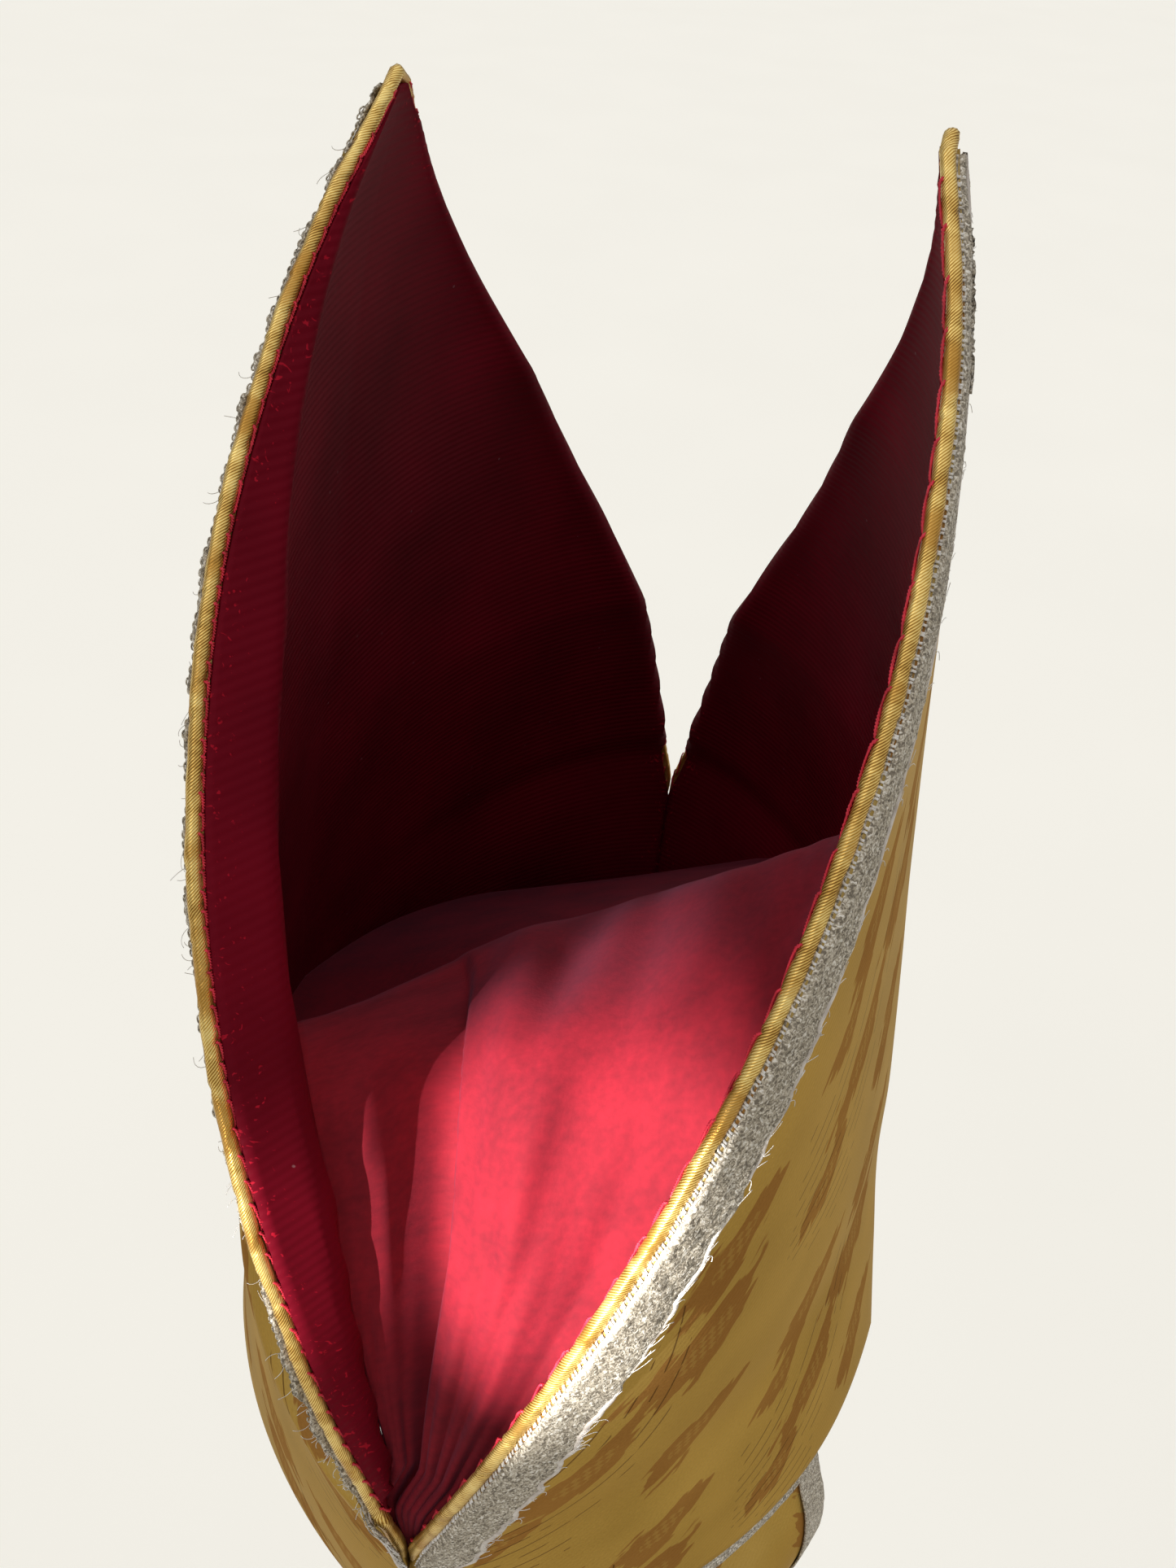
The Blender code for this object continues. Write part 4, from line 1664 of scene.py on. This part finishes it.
@dataclasses.dataclass
class Gusset:
    """The soft red roof between the cusps, folded under in a pleat beside the front one."""

    rows: int = 190
    columns: int = 150
    measured_column: int = 60
    thick: float = 0.8 * MM
    seam_in: float = 15 * MM
    inside: float = GAP + LINING_THICK - 0.3 * MM
    end_depth: float = 0.7 * MM
    pleat_at: float = 0.27
    pleat_step: float = 3.6 * MM
    pleat_rise: float = 0.2
    pleat_fall: float = 0.018
    fold_height: float = 2.6 * MM
    pucker: float = 0.5 * MM
    gathering: float = 0.45 * MM
    gathers: int = 9
    belly: float = 0.55
    tuck: tuple[float, float] = (0.22, 0.13)
    held: float = 0.35

    def sewn(self, cusp: Cusp, heights: np.ndarray, across: np.ndarray) -> np.ndarray:
        """Points of the edge that is sewn to one cusp.

        Args:
            cusp: which cusp.
            heights: heights above the rim, in metres.
            across: places across the cusp, from -1 at the far edge to 1 at the near one.

        Returns:
            A point for each.
        """
        points = []
        for height, place in zip(heights.tolist(), across):
            hand = Hand.NEAR if place >= 0 else Hand.FAR
            length = cloth_length(height, cusp, hand) - self.seam_in * lip_growth(height, 1)
            point = level_points(height, cusp, hand, np.array([abs(place) * length]), -self.inside)[0]
            point[1] = cusp * max(cusp * point[1], self.end_depth)
            points.append(point)
        return np.array(points)

    def folds(self, step: np.ndarray, column: np.ndarray) -> np.ndarray:
        """Height of the folds over the smooth cloth, all of them in its near half.

        Args:
            step: places from the near seam, 0, to the far one, 1.
            column: places from the front, 0, to the back, 1.

        Returns:
            Heights in metres.
        """
        near = ramp(step, 0.03, 0.12) * (1 - ramp(step, 0.42, 0.52))
        # The pleat rises slowly from the front cusp and drops at its wavy edge; the ridge lies behind it
        edge = self.pleat_at + 0.035 * np.sin(9 * step) - 0.05 * ramp(step, 0.3, 0.5)
        pleat = ramp(column, edge - self.pleat_rise, edge)
        pleat = pleat * (1 - ramp(column, edge, edge + self.pleat_fall))
        ridge = bell(column, 0.34 + 1.25 * np.clip(0.42 - step, 0, 1), 0.1) * ramp(step, 0.1, 0.2)
        # Gathers fan out from the near corner, and puckers follow both seams
        gathers = np.cos(math.tau * (column + 0.03 * np.sin(14 * step)) * self.gathers)
        gathers = gathers * (1 - ramp(step, 0.05, 0.22))
        puckers = wander(step, column, 0.055, 41) * (bell(column, 1.0, 0.09) + bell(column, 0.0, 0.09))
        held = np.sin(math.pi * column) ** self.held
        high = self.fold_height * ridge - self.pleat_step * pleat
        soft = self.gathering * gathers + self.pucker * (puckers + 0.8 * wander(step, column, 0.14, 42))
        return (high + soft) * near * held

    def hung(self, steps: np.ndarray, column: np.ndarray) -> tuple[np.ndarray, np.ndarray]:
        """Hangs the smooth cloth between the cusps.

        Args:
            steps: places from the near seam, 0, to the far one, 1.
            column: places from the front, 0, to the back, 1.

        Returns:
            Its points, and its width at each step.
        """
        # The rows go by step instead of by millimetre, and what is read keeps their units
        rows = np.column_stack([np.linspace(0, 1, len(GUSSET_ROWS)) / MM, GUSSET_ROWS])
        across, front, back, sag, push, fold = (smooth_table(rows, steps) / MM).T
        across = np.clip(across, -1, 1)
        start = self.sewn(Cusp.FRONT, front * MM, across)
        end = self.sewn(Cusp.BACK, back * MM, across)
        belly = np.sin(math.pi * column) ** self.belly
        pleat = bell(column, *self.tuck) * np.sin(math.pi * column) ** 0.5
        points = start[:, None] + column[None, :, None] * (end - start)[:, None]
        points[..., 2] -= (np.outer(sag, belly) + 0.5 * np.outer(fold, pleat)) * MM
        toward = np.sign(across + 1e-9)[:, None]
        points[..., 0] -= toward * (np.outer(push, belly) + np.outer(fold, pleat)) * MM
        return points, np.linalg.norm(end - start, axis=1)

    def build(self) -> None:
        """Makes the gusset with its pleat and folds."""
        steps = np.linspace(0, 1, self.rows)
        column = np.linspace(0, 1, self.columns)
        points, width = self.hung(steps, column)
        normal = unit(np.cross(np.gradient(points, axis=1), np.gradient(points, axis=0)))
        points += self.folds(*np.meshgrid(steps, column, indexing="ij"))[..., None] * normal
        along = lengths_along(points[:, self.measured_column])
        flat = flat_rows(width, column - 0.5, along)
        piece = piece_of("cloth_gusset", sheet_mesh(points, flat), RED_COTTON)
        thicken(piece, self.thick, 0)
        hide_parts("gusset")


# Lappets: a row for each level below the rim, in millimetres: height, push outwards, half width
LAPPET_LEVELS = (
    (-330.0, 0.0, 31.0),
    (-260.0, 0.5, 30.0),
    (-180.0, 1.5, 28.6),
    (-110.0, 3.0, 27.4),
    (-70.0, 6.0, 26.6),
    (-46.0, 8.5, 26.0),
    (-28.0, 6.5, 25.6),
    (-12.0, 2.5, 25.2),
    (2.0, 0.0, 25.0),
    (14.0, 0.0, 25.0),
)


@dataclasses.dataclass
class Lappet:
    """One of the two bands that hang from inside the back rim, with its braid border."""

    hand: Hand
    middle: float = 61 * MM
    clear: float = 0.5 * MM
    thick: float = 1.6 * MM
    flat_below: float = 150 * MM
    border: float = 9 * MM
    border_top: float = -1 * MM
    braid_thick: float = 0.55 * MM
    braid_lift: float = 0.9 * MM
    pile: float = 0.09 * MM
    rows: int = 120
    columns: int = 30
    fine: int = 10
    field_columns: int = 12

    def points(self, levels: np.ndarray, across: np.ndarray, lift: np.ndarray | float) -> np.ndarray:
        """Points of the lappet's outer face.

        Args:
            levels: heights.
            across: distances from its middle line as shares of its half width.
            lift: distances outwards, one or for each level and place.

        Returns:
            Rows of points.
        """
        face = -(GAP + LINING_THICK + self.clear)
        table = smooth_table(LAPPET_LEVELS, levels)
        lift = np.broadcast_to(lift, (len(levels), len(across)))
        rows = []
        for level, (push, half), raised in zip(levels, table, lift):
            height = max(float(level), 0.0)
            reach = self.middle + across * half
            curved = level_points(height, Cusp.BACK, Hand.NEAR, reach, face + raised)
            near = level_points(height, Cusp.BACK, Hand.NEAR, self.middle + np.array([-MM, 0, MM]), face)
            hanging = float(np.clip(-level / self.flat_below, 0, 1))
            beside = (1 - hanging) * unit(near[2] - near[0]) + np.array([hanging, 0, 0])
            outward = unit(np.cross([0, 0, 1], unit(beside)))
            flat = near[1] + (across * half)[:, None] * unit(beside) + raised[:, None] * outward
            row = curved + hanging * (flat - curved) + [0, push, 0]
            row[:, 2] = level
            rows.append(row)
        return np.array(rows) * [self.hand, 1, 1]

    def build(self) -> None:
        """Makes the band and its border."""
        name = "lappet_" + self.hand.word
        levels = np.linspace(LAPPET_LEVELS[-1][0] * MM, LAPPET_LEVELS[0][0] * MM, self.rows)
        across = np.linspace(-1, 1, self.columns)
        half = smooth_table(LAPPET_LEVELS, levels)[:, 1]
        points = self.points(levels, across, 0.0)
        flat = flat_rows(half, across, levels)
        mesh = sheet_mesh(points, flat, flip=self.hand == Hand.FAR)
        piece = piece_of("cloth_" + name, mesh, GOLD_DAMASK)
        thicken(piece, self.thick, -1)
        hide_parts(name)
        self.edge_with_braid(name)

    def edge_with_braid(self, name: str) -> None:
        """Lays the silver border round the band's outer face, as a frame.

        Args:
            name: the lappet's name.
        """
        bottom, top, fine = LAPPET_LEVELS[0][0] * MM, self.border_top, self.fine
        upper = np.linspace(top, top - self.border, fine)
        sides = np.linspace(top - self.border, bottom + self.border, self.rows)
        lower = np.linspace(bottom + self.border, bottom, fine)
        levels = np.concatenate([upper[:-1], sides, lower[1:]])
        inner = 1 - self.border / (LAPPET_LEVELS[-1][2] * MM)
        side = np.linspace(inner, 1, fine)
        field = np.linspace(-inner, inner, self.field_columns)[1:-1]
        across = np.concatenate([-side[::-1], field, side])
        half = smooth_table(LAPPET_LEVELS, levels)[:, 1]
        flat = flat_rows(half, across, levels)
        pile = self.pile * wander(flat[..., 0], flat[..., 1], 2.6 * MM, 55 + self.hand)
        points = self.points(levels, across, self.braid_lift + pile)
        mesh = sheet_mesh(points, flat, flip=self.hand == Hand.FAR)
        frame_cut = bmesh.new()
        frame_cut.from_mesh(mesh)
        inside = []
        for face in frame_cut.faces:
            row, column = divmod(min(vert.index for vert in face.verts), len(across))
            if fine - 1 <= row < len(levels) - fine and fine - 1 <= column < len(across) - fine:
                inside.append(face)
        bmesh.ops.delete(frame_cut, geom=inside, context="FACES")
        frame_cut.to_mesh(mesh)
        frame_cut.free()
        piece = piece_of(name + "_border", mesh, SILVER_THREAD)
        thicken(piece, self.braid_thick, -1)
        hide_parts(name + "_braid")


@dataclasses.dataclass
class Studio:
    """Floor, light and camera."""

    camera_place: tuple[float, float, float] = (0.2316, 0.0432, 0.3416)
    yaw: float = 0.2194
    pitch: float = 0.6193
    roll: float = 0.0715
    focal_pixels: float = 1696.4
    centre: tuple[float, float] = (695.2, 905.8)
    image: tuple[int, int] = (1445, 1927)
    sensor: float = 36.0
    spot_aim: tuple[float, float, float] = (0.0886, 0.0216, 0.1484)
    spot_way: tuple[float, float, float] = (-0.84, 0.485, -0.242)
    spot_far: float = 1.5
    spot_power: float = 420.0
    spot_angle: float = 2.75
    spot_blend: float = 0.3
    spot_radius: float = 0.01
    sun_way: tuple[float, float, float] = (-0.62, 0.45, -0.64)
    sun_energy: float = 0.3
    sun_spread: float = 35.0
    fill_level: float = 0.22
    fill_above: float = 0.9
    floor_height: float = -0.75
    floor_size: float = 40.0

    def build(self) -> None:
        """Places all three."""
        self.place_camera()
        self.light()
        self.lay_floor()

    def place_camera(self) -> None:
        """Puts the camera where the photograph was taken from, looking down between the cusps."""
        level_way = math.cos(self.pitch)
        ahead = (-math.cos(self.yaw) * level_way, -math.sin(self.yaw) * level_way, -math.sin(self.pitch))
        ahead = mathutils.Vector(ahead)
        level = mathutils.Vector((-math.sin(self.yaw), math.cos(self.yaw), 0))
        above = level.cross(ahead)
        right = math.cos(self.roll) * level + math.sin(self.roll) * above
        data = bpy.data.cameras.new("camera")
        camera = bpy.data.objects.new("camera", data)
        bpy.context.scene.collection.objects.link(camera)
        turn = mathutils.Matrix((right, right.cross(ahead), -ahead)).transposed()
        camera.matrix_world = mathutils.Matrix.Translation(self.camera_place) @ turn.to_4x4()
        data.sensor_fit = "VERTICAL"
        data.sensor_height = self.sensor
        width, height = self.image
        data.lens = self.focal_pixels * data.sensor_height / height
        data.shift_x = (width / 2 - self.centre[0]) / height
        data.shift_y = (self.centre[1] - height / 2) / height
        bpy.context.scene.camera = camera

    def light(self) -> None:
        """Soft light, strongest from above, a weak wide sun and a soft-edged spot from the near left."""
        world = bpy.data.worlds.new("studio")
        bpy.context.scene.world = world
        world.use_nodes = True
        background = world.node_tree.nodes["Background"]
        background.inputs["Color"].default_value = linear("#ffffff")
        tree = world.node_tree
        way = add(tree, "SeparateXYZ", {0: add(tree, "TexCoord")})
        fill = fade(tree, way.outputs[2], 0.0, 1.0, self.fill_level, self.fill_above)
        seen = add(tree, "LightPath").outputs["Is Camera Ray"]
        feed(tree, background, {"Strength": fade(tree, seen, 0.0, 1.0, fill, 1.0)})
        bpy.context.scene.view_settings.view_transform = "Standard"
        wide = bpy.data.lights.new("sun", "SUN")
        wide.energy = self.sun_energy
        wide.angle = math.radians(self.sun_spread)
        self.hang(wide, self.sun_way)
        spot = bpy.data.lights.new("spot", "SPOT")
        spot.energy = self.spot_power
        spot.spot_size = math.radians(self.spot_angle)
        spot.spot_blend = self.spot_blend
        spot.shadow_soft_size = self.spot_radius
        lamp = self.hang(spot, self.spot_way)
        lamp.location = mathutils.Vector(self.spot_aim) - self.spot_far * mathutils.Vector(self.spot_way)

    def hang(self, light: Light, way: Sequence[float]) -> Object:
        """Links a light that shines this way.

        Args:
            light: the light.
            way: where it shines to.

        Returns:
            The lamp.
        """
        lamp = bpy.data.objects.new(light.name, light)
        bpy.context.scene.collection.objects.link(lamp)
        lamp.rotation_euler = mathutils.Vector(way).to_track_quat("-Z", "Y").to_euler()
        return lamp

    def lay_floor(self) -> None:
        """A plain pale floor, well below the lappets."""
        plane = bmesh.new()
        bmesh.ops.create_grid(plane, x_segments=1, y_segments=1, size=self.floor_size / 2)
        bmesh.ops.translate(plane, verts=plane.verts, vec=(0, 0, self.floor_height))
        mesh = bpy.data.meshes.new("floor")
        plane.to_mesh(mesh)
        plane.free()
        floor = bpy.data.objects.new("floor", mesh)
        mesh.materials.append(PAPER.material())
        bpy.context.scene.collection.objects.link(floor)


def main() -> None:
    """Builds the mitre and its studio."""
    logging.basicConfig(level=logging.INFO)
    for cusp in Cusp:
        CuspWall(cusp).build()
        Piping(cusp).build()
        for kind in (Braid, Overcasting):
            for hand in reversed(Hand):
                kind(cusp, hand).build()
    Gusset().build()
    for hand in Hand:
        Lappet(hand).build()
    Studio().build()


if __name__ == "__main__":
    main()
